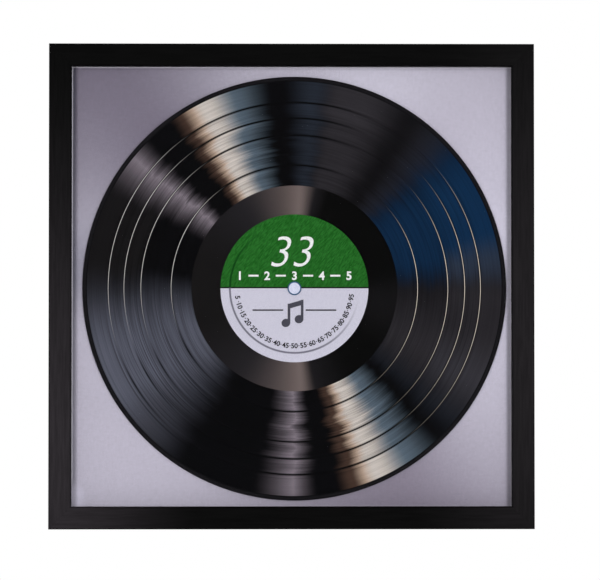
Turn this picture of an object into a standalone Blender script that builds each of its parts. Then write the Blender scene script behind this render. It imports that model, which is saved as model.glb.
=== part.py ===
"""Wall frame that shows a 12-inch record: mitred wooden moulding, glazing, a disc pegged to a mount card,
a backing board held by turn buttons, and the hanger and bumpers that carry it on the wall.

Metres, +Z up. The front faces -Y and the wall is the plane Y = 0. The origin is the middle notch of the
hanger, where the wall nail carries the frame. Everything is laid out on a bench frame first, face up:
X right, Y up the wall, Z out of the wall, with Z = 0 on the back of the rails.
"""

import math
from dataclasses import dataclass

import bmesh
import bpy
from mathutils import Vector

# Clearances
SEAT_GAP = 0.0003
GLUE_GAP = 0.0001
FIT_GAP = 0.0008
CUT_OVERRUN = 0.002
WELD = 0.000002
SHARP_ANGLE = math.radians(32)

# The disc: a 12-inch record
RECORD_DIAMETER = 0.3016
RIM_THICKNESS = 0.0020
RIM_WIDTH = 0.0029
RIM_RAMP = 0.0010
PLAY_THICKNESS = 0.0014
SPINDLE_DIAMETER = 0.00724
DEAD_WAX_DIAMETER = 0.1464
DEAD_WAX_DROP = 0.00008
TRACK_GAP_WIDTH = 0.0007
TRACK_GAP_DEPTH = 0.00012
TRACK_GAP_SHARES = (0.194, 0.482, 0.643, 0.793)
RECORD_SEGMENTS = 64

# The labels
LABEL_DIAMETER = 0.1052
LABEL_THICKNESS = 0.0002
LABEL_RECESS = 0.0002

# The peg that carries the disc
PEG_HEAD_DIAMETER = 0.0098
PEG_HEAD_THICKNESS = 0.0012
PEG_EDGE_RADIUS = 0.0006
PEG_TIP_TAPER = 0.0006
SMALL_SEGMENTS = 16

# The moulding, and the card's margin round the disc
RECORD_MARGIN = 0.0052
DISC_SHIFT_RIGHT = 0.0020
DISC_SHIFT_DOWN = 0.0014
RAIL_FACE = 0.016
LIP_OVERLAP = 0.004
LIP_THICKNESS = 0.004
FRONT_ARRIS_RADIUS = 0.0014
LIP_ARRIS_RADIUS = 0.0007
BACK_ARRIS_RADIUS = 0.0006
ARRIS_STEPS = 4

# What lies in the rebate, front to back
GLAZING_THICKNESS = 0.002
SPACER_DEPTH = 0.006
SPACER_SETBACK = 0.0004
CARD_THICKNESS = 0.0015
BOARD_THICKNESS = 0.003

# The steel chevrons that pin the mitres
CHEVRON_LEG = 0.005
CHEVRON_GAUGE = 0.0005
CHEVRON_DEPTH = 0.007
CHEVRON_HALF_ANGLE = math.radians(50)

# The turn buttons and their screws
BUTTON_GRIP = 0.0150
BUTTON_GAUGE = 0.0010
BUTTON_ROOT_RADIUS = 0.0048
BUTTON_TIP_RADIUS = 0.0034
BUTTON_EDGE = 0.00015
BUTTON_LIFT = 0.0011
BUTTON_LIFT_SHARE = 0.35
BUTTON_SPREAD_SHARE = 0.25
SCREW_SHANK_DIAMETER = 0.0025
SCREW_BITE = 0.008
SCREW_POINT = 0.002
SCREW_HEAD_DIAMETER = 0.0058
SCREW_HEAD_HEIGHT = 0.0018
SCREW_SLOT_WIDTH = 0.0009
SCREW_SLOT_LENGTH = 0.0034
SCREW_SLOT_DEPTH = 0.0010

# The sawtooth hanger and its nails
TOOTH_COUNT = 12
TOOTH_PITCH = 0.0021
TOOTH_DEPTH = 0.0014
HANGER_HEIGHT = 0.009
HANGER_TAB = 0.008
HANGER_RAMP = 0.0018
HANGER_LIFT = 0.0016
HANGER_GAUGE = 0.0008
NAIL_SHANK_DIAMETER = 0.0014
NAIL_BITE = 0.009
NAIL_POINT = 0.0015
NAIL_HEAD_DIAMETER = 0.0034
NAIL_HEAD_HEIGHT = 0.0006

# The bumpers that stand the lower edge off the wall
BUMPER_DIAMETER = 0.0096
BUMPER_HEIGHT = 0.0042
BUMPER_EDGE_RADIUS = 0.0014
BUMPER_INSET = 0.030

# Sizes that follow from those above
RECORD_RADIUS = RECORD_DIAMETER / 2
SIGHT_SIDE = RECORD_DIAMETER + RECORD_MARGIN * 2
FRAME_SIDE = SIGHT_SIDE + RAIL_FACE * 2
RAIL_BACK = RAIL_FACE - LIP_OVERLAP
REBATE_SIDE = SIGHT_SIDE + LIP_OVERLAP * 2
INSERT_SIDE = REBATE_SIDE - FIT_GAP * 2
SPACER_WIDTH = LIP_OVERLAP - FIT_GAP - SPACER_SETBACK
CARD_BACK = BOARD_THICKNESS + SEAT_GAP
CARD_FRONT = CARD_BACK + CARD_THICKNESS
SPACER_BACK = CARD_FRONT + SEAT_GAP
GLAZING_BACK = SPACER_BACK + SPACER_DEPTH + SEAT_GAP
LIP_BACK = GLAZING_BACK + GLAZING_THICKNESS + SEAT_GAP
RAIL_DEPTH = LIP_BACK + LIP_THICKNESS
DISC_CENTRE = Vector((DISC_SHIFT_RIGHT, -DISC_SHIFT_DOWN, 0))
DISC_MIDDLE = CARD_FRONT + SEAT_GAP + RIM_THICKNESS / 2
LABEL_SEAT = PLAY_THICKNESS / 2 - DEAD_WAX_DROP - LABEL_RECESS
LABEL_OUT = LABEL_SEAT + GLUE_GAP + LABEL_THICKNESS
PEG_SHANK_RADIUS = SPINDLE_DIAMETER / 2 - SEAT_GAP
PEG_SEAT = DISC_MIDDLE + LABEL_OUT + SEAT_GAP
BUTTON_REACH = RAIL_BACK / 2 + FIT_GAP + BUTTON_GRIP
BUTTON_HOLE_RADIUS = SCREW_SHANK_DIAMETER / 2 + SEAT_GAP
SCREW_SEAT = SEAT_GAP + BUTTON_GAUGE + SEAT_GAP
HANGER_SPAN = TOOTH_PITCH * TOOTH_COUNT
HANGER_LENGTH = HANGER_SPAN + (HANGER_RAMP + HANGER_TAB) * 2
HANGER_NAIL_SPREAD = HANGER_LENGTH / 2 - HANGER_HEIGHT / 2
NAIL_SEAT = SEAT_GAP + HANGER_GAUGE + SEAT_GAP
NOTCH_HEIGHT = FRAME_SIDE / 2 - RAIL_BACK / 2 - HANGER_HEIGHT / 2 + TOOTH_DEPTH
WALL_GAP = SEAT_GAP + BUMPER_HEIGHT

QUARTER = math.pi / 2
BACKWARD = (QUARTER * 2, 0, 0)


@dataclass(frozen=True)
class Finish:
    """Surface of one kind of piece: its colour, roughness and metallic value."""

    name: str
    colour: tuple
    roughness: float
    metallic: float = 0.0


BLACK_WOOD = Finish("black_wood", (0.010, 0.010, 0.011), 0.42)
CLEAR_GLASS = Finish("clear_glass", (0.86, 0.90, 0.89), 0.03)
BLACK_STRIP = Finish("black_strip", (0.014, 0.014, 0.015), 0.6)
VINYL = Finish("vinyl", (0.008, 0.008, 0.010), 0.22)
LABEL_PAPER = Finish("label_paper", (0.55, 0.54, 0.60), 0.55)
PALE_PLASTIC = Finish("pale_plastic", (0.60, 0.68, 0.74), 0.35)
LILAC_CARD = Finish("lilac_card", (0.40, 0.38, 0.46), 0.7)
FIBREBOARD = Finish("fibreboard", (0.27, 0.17, 0.09), 0.8)
ZINC_STEEL = Finish("zinc_steel", (0.62, 0.62, 0.60), 0.34, 1.0)
BRASS_PLATE = Finish("brass_plate", (0.72, 0.53, 0.24), 0.32, 1.0)
SOFT_VINYL = Finish("soft_vinyl", (0.05, 0.05, 0.05), 0.65)


@dataclass(frozen=True)
class Side:
    """One side of the frame, in its place after turning from the bottom side about the bench's Z.

    The ends are named as seen from the front, first the one towards the side's own -X, and the corner is
    the one at its +X end.
    """

    name: str
    turn: float
    ends: tuple
    corner: str


SIDES = (
    Side("bottom", 0.0, ("left", "right"), "bottom_right"),
    Side("right", QUARTER, ("lower", "upper"), "top_right"),
    Side("top", QUARTER * 2, ("right", "left"), "top_left"),
    Side("left", QUARTER * 3, ("upper", "lower"), "bottom_left"),
)
SIGNS = (-1, 1)


def clear_scene():
    """Removes every object that the scene starts with."""
    for obj in list(bpy.data.objects):
        bpy.data.objects.remove(obj, do_unlink=True)


def new_collection(name):
    """A collection linked to the scene."""
    collection = bpy.data.collections.new(name)
    bpy.context.scene.collection.children.link(collection)
    return collection


def material_of(finish):
    """The finish's material, made once."""
    material = bpy.data.materials.get(finish.name)
    if material is None:
        material = bpy.data.materials.new(finish.name)
        material.use_nodes = True
        shader = material.node_tree.nodes["Principled BSDF"]
        shader.inputs["Base Color"].default_value = (*finish.colour, 1.0)
        shader.inputs["Roughness"].default_value = finish.roughness
        shader.inputs["Metallic"].default_value = finish.metallic
        material.diffuse_color = (*finish.colour, 1.0)
    return material


def place(name, data, collection, parent, location=(0, 0, 0), rotation=(0, 0, 0)):
    """A named object under its parent; with no data it is an empty."""
    obj = bpy.data.objects.new(name, data)
    collection.objects.link(obj)
    obj.parent = parent
    obj.location = location
    obj.rotation_euler = rotation
    return obj


def part(name, mesh, finish, parent, location=(0, 0, 0), rotation=(0, 0, 0)):
    """A piece of the frame with its finish."""
    if not mesh.materials:
        mesh.materials.append(material_of(finish))
    return place(name, mesh, PARTS, parent, location, rotation)


def cutter(name, mesh, parent, location=(0, 0, 0), rotation=(0, 0, 0)):
    """A shape that only cuts others."""
    obj = place(name, mesh, CUTTERS, parent, location, rotation)
    obj.hide_render = True
    obj.display_type = "WIRE"
    return obj


def cut(obj, tool):
    """Takes the tool's shape out of the object."""
    boolean = obj.modifiers.new("cut_" + tool.name, "BOOLEAN")
    boolean.operation = "DIFFERENCE"
    boolean.object = tool


def realise(obj):
    """The object's finished shape as one welded mesh, shaded smooth between its sharp edges."""
    name = obj.data.name
    if obj.name not in bpy.context.scene.objects:
        CUTTERS.objects.link(obj)
    graph = bpy.context.evaluated_depsgraph_get()
    mesh = bpy.data.meshes.new_from_object(obj.evaluated_get(graph))
    bpy.data.objects.remove(obj)
    shape = bmesh.new()
    shape.from_mesh(mesh)
    bmesh.ops.remove_doubles(shape, verts=shape.verts, dist=WELD)
    bmesh.ops.recalc_face_normals(shape, faces=shape.faces)
    shape.to_mesh(mesh)
    shape.free()
    mesh.name = name
    mesh.shade_smooth()
    mesh.set_sharp_from_angle(angle=SHARP_ANGLE)
    return mesh


def arc(centre, radius, start, sweep, steps):
    """Points on an arc, both ends included; start and sweep are in quarter turns."""
    points = []
    for step in range(steps + 1):
        angle = QUARTER * (start + sweep * step / steps)
        points.append(
            (centre[0] + radius * math.cos(angle), centre[1] + radius * math.sin(angle))
        )
    return points


def circle(centre, radius, segments):
    """A closed outline of that many sides, with no point given twice."""
    return arc(centre, radius, 0, 4, segments)[:-1]


def rectangle(width, height):
    """A closed outline about its own middle."""
    x, y = width / 2, height / 2
    return [(-x, -y), (x, -y), (x, y), (-x, y)]


def turned(name, profile, segments):
    """A piece turned about Z. The profile gives radius and height, down the outer side from its top.

    A profile that starts and ends off the axis is closed on itself and leaves a bore.
    """
    count = len(profile)
    edges = [(index, index + 1) for index in range(count - 1)]
    if profile[0][0] > 0:
        edges.append((count - 1, 0))
    mesh = bpy.data.meshes.new(name)
    mesh.from_pydata([(radius, 0, height) for radius, height in profile], edges, [])
    obj = bpy.data.objects.new(name, mesh)
    screw = obj.modifiers.new("turn", "SCREW")
    screw.steps = segments
    screw.render_steps = segments
    screw.use_merge_vertices = True
    screw.merge_threshold = WELD
    return realise(obj)


def sheet(name, outlines, thickness, edge=0.0):
    """A flat piece about Z = 0 from closed outlines, the first outside and the rest its holes."""
    curve = bpy.data.curves.new(name, "CURVE")
    curve.dimensions = "2D"
    curve.fill_mode = "BOTH"
    curve.extrude = thickness / 2 - edge
    curve.bevel_depth = edge
    curve.bevel_resolution = 0
    curve.offset = -edge
    for outline in outlines:
        spline = curve.splines.new("POLY")
        spline.points.add(len(outline) - 1)
        for point, (x, y) in zip(spline.points, outline):
            point.co = (x, y, 0, 1)
        spline.use_cyclic_u = True
    return realise(bpy.data.objects.new(name, curve))


def block(name, width, height, depth):
    """A box that stands on Z = 0, about its own middle in X and Y."""
    shape = bmesh.new()
    bmesh.ops.create_cube(shape, size=1)
    bmesh.ops.scale(shape, vec=(width, height, depth), verts=shape.verts)
    bmesh.ops.translate(shape, vec=(0, 0, depth / 2), verts=shape.verts)
    mesh = bpy.data.meshes.new(name)
    shape.to_mesh(mesh)
    shape.free()
    return mesh


def drill(name, radius, depth):
    """A round cutter from a little below Z = 0 up to the depth."""
    shape = bmesh.new()
    length = depth + CUT_OVERRUN
    bmesh.ops.create_cone(
        shape, cap_ends=True, segments=SMALL_SEGMENTS, radius1=radius, radius2=radius, depth=length
    )
    bmesh.ops.translate(shape, vec=(0, 0, depth - length / 2), verts=shape.verts)
    mesh = bpy.data.meshes.new(name)
    shape.to_mesh(mesh)
    shape.free()
    return mesh


def reshape(mesh, stations, axis, move):
    """Cuts loops across the mesh at the stations along an axis, then moves each vertex by move(place)."""
    normal = Vector([1.0 if index == axis else 0.0 for index in range(3)])
    shape = bmesh.new()
    shape.from_mesh(mesh)
    for station in stations:
        everything = list(shape.verts) + list(shape.edges) + list(shape.faces)
        bmesh.ops.bisect_plane(
            shape, geom=everything, dist=WELD, plane_co=normal * station, plane_no=normal
        )
    for vert in shape.verts:
        vert.co.z += move(vert.co[axis])
    bmesh.ops.triangulate(shape, faces=shape.faces)
    shape.to_mesh(mesh)
    shape.free()
    return mesh


# The moulding


def rail_section():
    """The rail's section in (Y, Z), its outer edge at Y = 0 and the sight edge at Y = RAIL_FACE."""
    front, back, lip = FRONT_ARRIS_RADIUS, BACK_ARRIS_RADIUS, LIP_ARRIS_RADIUS
    section = arc((back, back), back, 3, -1, ARRIS_STEPS // 2)
    section += arc((front, RAIL_DEPTH - front), front, 2, -1, ARRIS_STEPS)
    section += arc((RAIL_FACE - lip, RAIL_DEPTH - lip), lip, 1, -1, ARRIS_STEPS // 2)
    section += [(RAIL_FACE, LIP_BACK), (RAIL_BACK, LIP_BACK), (RAIL_BACK, 0)]
    return section


def rail_mesh(name):
    """The section drawn along X, with both ends cut at 45 degrees for the mitres."""
    half = FRAME_SIDE / 2
    shape = bmesh.new()
    section = [shape.verts.new((-half, y - half, z)) for y, z in rail_section()]
    start = shape.faces.new(section)
    drawn = bmesh.ops.extrude_face_region(shape, geom=[start])["geom"]
    moved = [item for item in drawn if isinstance(item, bmesh.types.BMVert)]
    bmesh.ops.translate(shape, vec=(FRAME_SIDE, 0, 0), verts=moved)
    for sign in SIGNS:
        normal = Vector((sign, 1, 0)).normalized()
        corner = Vector((sign * half, -half, 0)) - normal * (GLUE_GAP / 2)
        everything = list(shape.verts) + list(shape.edges) + list(shape.faces)
        sawn = bmesh.ops.bisect_plane(
            shape,
            geom=everything,
            dist=WELD,
            plane_co=corner,
            plane_no=normal,
            clear_outer=True,
        )
        rim = [item for item in sawn["geom_cut"] if isinstance(item, bmesh.types.BMEdge)]
        bmesh.ops.edgeloop_fill(shape, edges=rim)
    bmesh.ops.recalc_face_normals(shape, faces=shape.faces)
    mesh = bpy.data.meshes.new(name)
    shape.to_mesh(mesh)
    shape.free()
    mesh.shade_smooth()
    mesh.set_sharp_from_angle(angle=SHARP_ANGLE)
    return mesh


def chevron(name, growth=0.0):
    """A strip bent to a V that opens along +X, standing on Z = 0; growth is the play all round its slot."""
    leg = CHEVRON_LEG + growth
    reach = leg * math.cos(CHEVRON_HALF_ANGLE)
    spread = leg * math.sin(CHEVRON_HALF_ANGLE)
    base = 0 if not growth else -CUT_OVERRUN
    outline = [(reach, spread, base), (0, 0, base), (reach, -spread, base)]
    shape = bmesh.new()
    verts = [shape.verts.new(point) for point in outline]
    strip = [shape.edges.new(pair) for pair in zip(verts, verts[1:])]
    drawn = bmesh.ops.extrude_edge_only(shape, edges=strip)["geom"]
    moved = [item for item in drawn if isinstance(item, bmesh.types.BMVert)]
    bmesh.ops.translate(shape, vec=(0, 0, CHEVRON_DEPTH + growth * 2 - base), verts=moved)
    mesh = bpy.data.meshes.new(name)
    shape.to_mesh(mesh)
    shape.free()
    obj = bpy.data.objects.new(name, mesh)
    solid = obj.modifiers.new("gauge", "SOLIDIFY")
    solid.thickness = CHEVRON_GAUGE + growth * 2
    solid.offset = 0
    solid.use_even_offset = True
    return realise(obj)


def build_moulding(sides):
    """Four mitred rails, pinned at the corners by chevrons that are driven in from behind."""
    half = FRAME_SIDE / 2
    mid_back = RAIL_BACK / 2
    apex = mid_back - CHEVRON_LEG * math.cos(CHEVRON_HALF_ANGLE) / 2 * math.sqrt(0.5)
    corner = (half - apex, apex - half)
    inward = (0, 0, math.radians(135))
    pin = chevron("mitre_pin")
    slot = chevron("mitre_slot", SEAT_GAP)
    slots = {}
    for side, empty in sides.items():
        slots[side] = cutter("slot_" + side.corner, slot, empty, (*corner, 0), inward)
        part("mitre_pin_" + side.corner, pin, ZINC_STEEL, empty, (*corner, SEAT_GAP), inward)
    pilot = drill("pilot", SCREW_SHANK_DIAMETER / 2 + SEAT_GAP, SCREW_BITE + SEAT_GAP)
    nail_hole = drill("nail_hole", NAIL_SHANK_DIAMETER / 2 + SEAT_GAP, NAIL_BITE + SEAT_GAP)
    before = SIDES[-1]
    for side, empty in sides.items():
        rail = part("rail_" + side.name, rail_mesh("rail_" + side.name), BLACK_WOOD, empty)
        cut(rail, slots[before])
        cut(rail, slots[side])
        for end, sign in zip(side.ends, SIGNS):
            spot = (sign * FRAME_SIDE * BUTTON_SPREAD_SHARE, mid_back - half, 0)
            cut(rail, cutter(f"pilot_{side.name}_{end}", pilot, empty, spot))
            if side.name == "top":
                spot = (sign * HANGER_NAIL_SPREAD, mid_back - half, 0)
                cut(rail, cutter(f"nail_hole_{end}", nail_hole, empty, spot))
        before = side


# What lies in the rebate


def build_inserts(bench, sides):
    """Glazing against the lip, strips that hold it off the disc, then the card and the backing board."""
    pane = sheet("glazing", [rectangle(INSERT_SIDE, INSERT_SIDE)], GLAZING_THICKNESS)
    part("glazing", pane, CLEAR_GLASS, bench, (0, 0, GLAZING_BACK + GLAZING_THICKNESS / 2))
    length = INSERT_SIDE - SPACER_WIDTH - SEAT_GAP
    spot = ((length - INSERT_SIDE) / 2, (SPACER_WIDTH - INSERT_SIDE) / 2, SPACER_BACK)
    for side, empty in sides.items():
        strip = block("spacer_" + side.name, length, SPACER_WIDTH, SPACER_DEPTH)
        part("spacer_" + side.name, strip, BLACK_STRIP, empty, spot)
    hole = circle(DISC_CENTRE, SPINDLE_DIAMETER / 2, SMALL_SEGMENTS)
    outlines = [rectangle(INSERT_SIDE, INSERT_SIDE), hole]
    card = sheet("mount_card", outlines, CARD_THICKNESS)
    part("mount_card", card, LILAC_CARD, bench, (0, 0, CARD_BACK + CARD_THICKNESS / 2))
    board = sheet("backing_board", outlines, BOARD_THICKNESS)
    part("backing_board", board, FIBREBOARD, bench, (0, 0, BOARD_THICKNESS / 2))


# The disc


def disc_surface():
    """Radius and height above the disc's middle along its front, from the spindle hole to the rim's edge."""
    play = PLAY_THICKNESS / 2
    wax = play - DEAD_WAX_DROP
    rim = RIM_THICKNESS / 2
    seat_edge = LABEL_DIAMETER / 2 + GLUE_GAP
    wax_edge = DEAD_WAX_DIAMETER / 2
    rim_foot = RECORD_RADIUS - RIM_WIDTH
    points = [(SPINDLE_DIAMETER / 2, LABEL_SEAT), (seat_edge, LABEL_SEAT), (seat_edge, wax)]
    points += [(wax_edge, wax), (wax_edge + DEAD_WAX_DROP, play)]
    for share in TRACK_GAP_SHARES:
        middle = wax_edge + (rim_foot - wax_edge) * share
        points += [
            (middle - TRACK_GAP_WIDTH / 2, play),
            (middle, play - TRACK_GAP_DEPTH),
            (middle + TRACK_GAP_WIDTH / 2, play),
        ]
    points += [(rim_foot, play), (rim_foot + RIM_RAMP, rim)]
    points += arc((RECORD_RADIUS - rim, 0), rim, 1, -1, ARRIS_STEPS)
    return points


def build_disc(bench):
    """The record with a paper label on each face, on a peg that is pressed into the backing board."""
    front = disc_surface()
    back = [(radius, -height) for radius, height in reversed(front[:-1])]
    record = turned("vinyl_record", front + back, RECORD_SEGMENTS)
    middle = DISC_CENTRE + Vector((0, 0, DISC_MIDDLE))
    part("vinyl_record", record, VINYL, bench, middle)
    ring = turned(
        "record_label",
        [
            (LABEL_DIAMETER / 2, LABEL_THICKNESS / 2),
            (LABEL_DIAMETER / 2, -LABEL_THICKNESS / 2),
            (SPINDLE_DIAMETER / 2, -LABEL_THICKNESS / 2),
            (SPINDLE_DIAMETER / 2, LABEL_THICKNESS / 2),
        ],
        RECORD_SEGMENTS,
    )
    lift = Vector((0, 0, LABEL_OUT - LABEL_THICKNESS / 2))
    part("label_front", ring, LABEL_PAPER, bench, middle + lift)
    part("label_back", ring, LABEL_PAPER, bench, middle - lift)
    edge = PEG_EDGE_RADIUS
    head = PEG_HEAD_DIAMETER / 2
    profile = [(0, PEG_HEAD_THICKNESS)]
    profile += arc((head - edge, PEG_HEAD_THICKNESS - edge), edge, 1, -1, ARRIS_STEPS)
    profile += [(head, 0), (PEG_SHANK_RADIUS, 0)]
    profile += [(PEG_SHANK_RADIUS, PEG_TIP_TAPER - PEG_SEAT)]
    profile += [(PEG_SHANK_RADIUS - PEG_TIP_TAPER, -PEG_SEAT), (0, -PEG_SEAT)]
    peg = turned("centre_peg", profile, SMALL_SEGMENTS)
    part("centre_peg", peg, PALE_PLASTIC, bench, DISC_CENTRE + Vector((0, 0, PEG_SEAT)))


# The turn buttons


def button_mesh():
    """A stamped finger, wide at its screw and narrow at its tip, with the tip raised for a fingernail."""
    reach = BUTTON_REACH - BUTTON_TIP_RADIUS
    lean = math.asin((BUTTON_ROOT_RADIUS - BUTTON_TIP_RADIUS) / reach) / QUARTER
    outline = arc((0, 0), BUTTON_ROOT_RADIUS, 2 - lean, 2 + lean * 2, SMALL_SEGMENTS // 2)
    outline += arc((0, reach), BUTTON_TIP_RADIUS, lean, 2 - lean * 2, SMALL_SEGMENTS // 2)
    hole = circle((0, 0), BUTTON_HOLE_RADIUS, SMALL_SEGMENTS)
    mesh = sheet("turn_button", [outline, hole], BUTTON_GAUGE, BUTTON_EDGE)
    span = BUTTON_REACH * BUTTON_LIFT_SHARE
    start = BUTTON_REACH - span

    def lift(place_along):
        return -BUTTON_LIFT * (max(place_along - start, 0) / span) ** 2

    return reshape(mesh, (start, start + span / 3, start + span * 2 / 3), 1, lift)


def screw_mesh():
    """A pan-head wood screw, head up, its head's seat at Z = 0, with a cross recess."""
    head, shank = SCREW_HEAD_DIAMETER / 2, SCREW_SHANK_DIAMETER / 2
    length = SCREW_SEAT + SCREW_BITE
    dome = []
    for step in range(ARRIS_STEPS + 1):
        angle = QUARTER * step / ARRIS_STEPS
        rise = SCREW_HEAD_HEIGHT * (1 + math.cos(angle)) / 2
        dome.append((head * math.sin(angle), rise))
    profile = dome + [(head, 0), (shank, 0), (shank, SCREW_POINT - length), (0, -length)]
    obj = place("screw_blank", turned("button_screw", profile, SMALL_SEGMENTS), CUTTERS, None)
    depth = SCREW_SLOT_DEPTH + CUT_OVERRUN
    sizes = ((SCREW_SLOT_LENGTH, SCREW_SLOT_WIDTH), (SCREW_SLOT_WIDTH, SCREW_SLOT_LENGTH))
    for index, (width, height) in enumerate(sizes):
        tool = cutter(f"cross_{index}", block("cross", width, height, depth), None)
        tool.location.z = SCREW_HEAD_HEIGHT - SCREW_SLOT_DEPTH
        cut(obj, tool)
    bpy.context.view_layer.update()
    return realise(obj)


def build_buttons(sides):
    """Two turn buttons on each side. Each turns about its own screw, and at rest it lies over the board."""
    button, screw = button_mesh(), screw_mesh()
    for side, empty in sides.items():
        for end, sign in zip(side.ends, SIGNS):
            spot = (sign * FRAME_SIDE * BUTTON_SPREAD_SHARE, (RAIL_BACK - FRAME_SIDE) / 2)
            flat = (*spot, -SEAT_GAP - BUTTON_GAUGE / 2)
            part(f"turn_button_{side.name}_{end}", button, ZINC_STEEL, empty, flat)
            seat = (*spot, -SCREW_SEAT)
            part(f"button_screw_{side.name}_{end}", screw, ZINC_STEEL, empty, seat, BACKWARD)


# What carries the frame on the wall


def hanger_mesh():
    """A strip with round ends for its nails and a raised middle, whose lower edge is a row of teeth."""
    half, low = HANGER_LENGTH / 2, HANGER_HEIGHT / 2
    outline = []
    for tooth in range(TOOTH_COUNT):
        notch = TOOTH_PITCH * tooth - HANGER_SPAN / 2
        outline += [(notch, TOOTH_DEPTH - low), (notch + TOOTH_PITCH / 2, -low)]
    outline += [(HANGER_SPAN / 2, TOOTH_DEPTH - low), (HANGER_SPAN / 2 + TOOTH_DEPTH, -low)]
    outline += arc((half - low, 0), low, -1, 2, SMALL_SEGMENTS // 2)
    outline += arc((low - half, 0), low, 1, 2, SMALL_SEGMENTS // 2)
    outline += [(-HANGER_SPAN / 2 - TOOTH_DEPTH, -low)]
    radius = NAIL_SHANK_DIAMETER / 2 + SEAT_GAP
    holes = [circle((sign * HANGER_NAIL_SPREAD, 0), radius, SMALL_SEGMENTS) for sign in SIGNS]
    mesh = sheet("hanger", [outline, *holes], HANGER_GAUGE)
    flat, foot = HANGER_SPAN / 2, HANGER_SPAN / 2 + HANGER_RAMP

    def lift(along):
        return -HANGER_LIFT * min(max((foot - abs(along)) / HANGER_RAMP, 0), 1)

    return reshape(mesh, (-foot, -flat, flat, foot), 0, lift)


def nail_mesh():
    """A short nail with a flat round head, head up, its head's seat at Z = 0."""
    shank, head = NAIL_SHANK_DIAMETER / 2, NAIL_HEAD_DIAMETER / 2
    length = NAIL_SEAT + NAIL_BITE
    profile = [(0, NAIL_HEAD_HEIGHT), (head, NAIL_HEAD_HEIGHT), (head, 0), (shank, 0)]
    profile += [(shank, NAIL_POINT - length), (0, -length)]
    return turned("hanger_nail", profile, SMALL_SEGMENTS)


def bumper_mesh():
    """A soft round foot on Z = 0, its outer edge rounded."""
    radius, edge = BUMPER_DIAMETER / 2, BUMPER_EDGE_RADIUS
    profile = [(0, BUMPER_HEIGHT)]
    profile += arc((radius - edge, BUMPER_HEIGHT - edge), edge, 1, -1, ARRIS_STEPS)
    profile += [(radius, 0), (0, 0)]
    return turned("bumper", profile, SMALL_SEGMENTS)


def build_wall_fittings(bench):
    """The sawtooth hanger with its nails on the top rail, and two bumpers on the bottom rail."""
    line = (FRAME_SIDE - RAIL_BACK) / 2
    hanger_spot = (0, line, -SEAT_GAP - HANGER_GAUGE / 2)
    part("hanger", hanger_mesh(), BRASS_PLATE, bench, hanger_spot)
    nail, bumper = nail_mesh(), bumper_mesh()
    for end, sign in zip(SIDES[0].ends, SIGNS):
        nail_spot = (sign * HANGER_NAIL_SPREAD, line, -NAIL_SEAT)
        part(f"hanger_nail_{end}", nail, BRASS_PLATE, bench, nail_spot, BACKWARD)
        bumper_spot = (sign * (FRAME_SIDE / 2 - BUMPER_INSET), -line, -SEAT_GAP)
        part(f"bumper_{end}", bumper, SOFT_VINYL, bench, bumper_spot, BACKWARD)


def main():
    """Sets up the bench on the wall plane and builds each group of pieces on it."""
    bench = place("bench", None, PARTS, None, (0, -WALL_GAP, -NOTCH_HEIGHT), (QUARTER, 0, 0))
    sides = {
        side: place("side_" + side.name, None, PARTS, bench, rotation=(0, 0, side.turn))
        for side in SIDES
    }
    build_moulding(sides)
    build_inserts(bench, sides)
    build_disc(bench)
    build_buttons(sides)
    build_wall_fittings(bench)


clear_scene()
PARTS = new_collection("vinyl_record_frame")
CUTTERS = new_collection("cutters")
main()
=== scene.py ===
"""Looks of the vinyl record frame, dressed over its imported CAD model.

Metres, +Z up, in the CAD model's own frame: the front faces -Y, the wall is the plane Y = 0 and the origin
is the hanger's middle notch. A piece is shaped lying down with its visible face up, and is then stood up by
FACING for the front of the frame, or by REVERSED for its back.
"""

import logging
import math
from collections.abc import Iterable, Sequence
from dataclasses import dataclass, field
from enum import Enum
from functools import reduce

import bmesh
import bpy
from mathutils import Matrix, Vector


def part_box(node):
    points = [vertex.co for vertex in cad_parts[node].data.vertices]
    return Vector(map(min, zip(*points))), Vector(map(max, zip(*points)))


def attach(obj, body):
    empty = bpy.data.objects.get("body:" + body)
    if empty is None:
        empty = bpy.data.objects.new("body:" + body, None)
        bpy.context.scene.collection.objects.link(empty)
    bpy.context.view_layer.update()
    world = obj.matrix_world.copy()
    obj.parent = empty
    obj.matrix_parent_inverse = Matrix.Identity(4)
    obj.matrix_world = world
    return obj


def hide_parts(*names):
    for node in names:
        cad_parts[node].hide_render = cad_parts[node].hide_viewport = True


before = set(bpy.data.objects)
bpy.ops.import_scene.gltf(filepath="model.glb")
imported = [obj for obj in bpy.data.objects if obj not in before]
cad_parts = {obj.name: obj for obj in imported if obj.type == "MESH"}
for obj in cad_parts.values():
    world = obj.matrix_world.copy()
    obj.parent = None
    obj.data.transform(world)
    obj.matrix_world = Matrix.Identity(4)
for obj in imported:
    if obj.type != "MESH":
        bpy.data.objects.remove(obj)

LOG = logging.getLogger("record_frame")
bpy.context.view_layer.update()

Colour = tuple[int, int, int]
Point = tuple[float, float]
Triple = tuple[float, float, float]
Ramp = tuple[float, float, float, float]
Material = bpy.types.Material
Shape = bmesh.types.BMesh
Socket = bpy.types.NodeSocket

TURN = math.tau
QUARTER = math.pi / 2
WELD = 0.000002
SHARP_ANGLE = math.radians(32)
STAMPED = math.radians(60)
STRAIGHT = math.radians(1)
WHITE = (1, 1, 1, 1)
ABOUT = Matrix.Rotation(math.pi, 4, "Z")
FACING = Matrix.Rotation(QUARTER, 4, "X")
REVERSED = Matrix.Rotation(-QUARTER, 4, "X")
PRINT_THICKNESS = 0.00003


class Slot(Enum):
    """The record's material slots."""

    WOOD = "black_wood"
    GLASS = "clear_glass"
    STRIP = "black_strip"
    VINYL = "vinyl"
    LABEL = "label_paper"
    PEG = "pale_plastic"
    CARD = "lilac_card"
    BOARD = "fibreboard"
    ZINC = "zinc_steel"
    BRASS = "brass_plate"
    RUBBER = "soft_vinyl"


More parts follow.
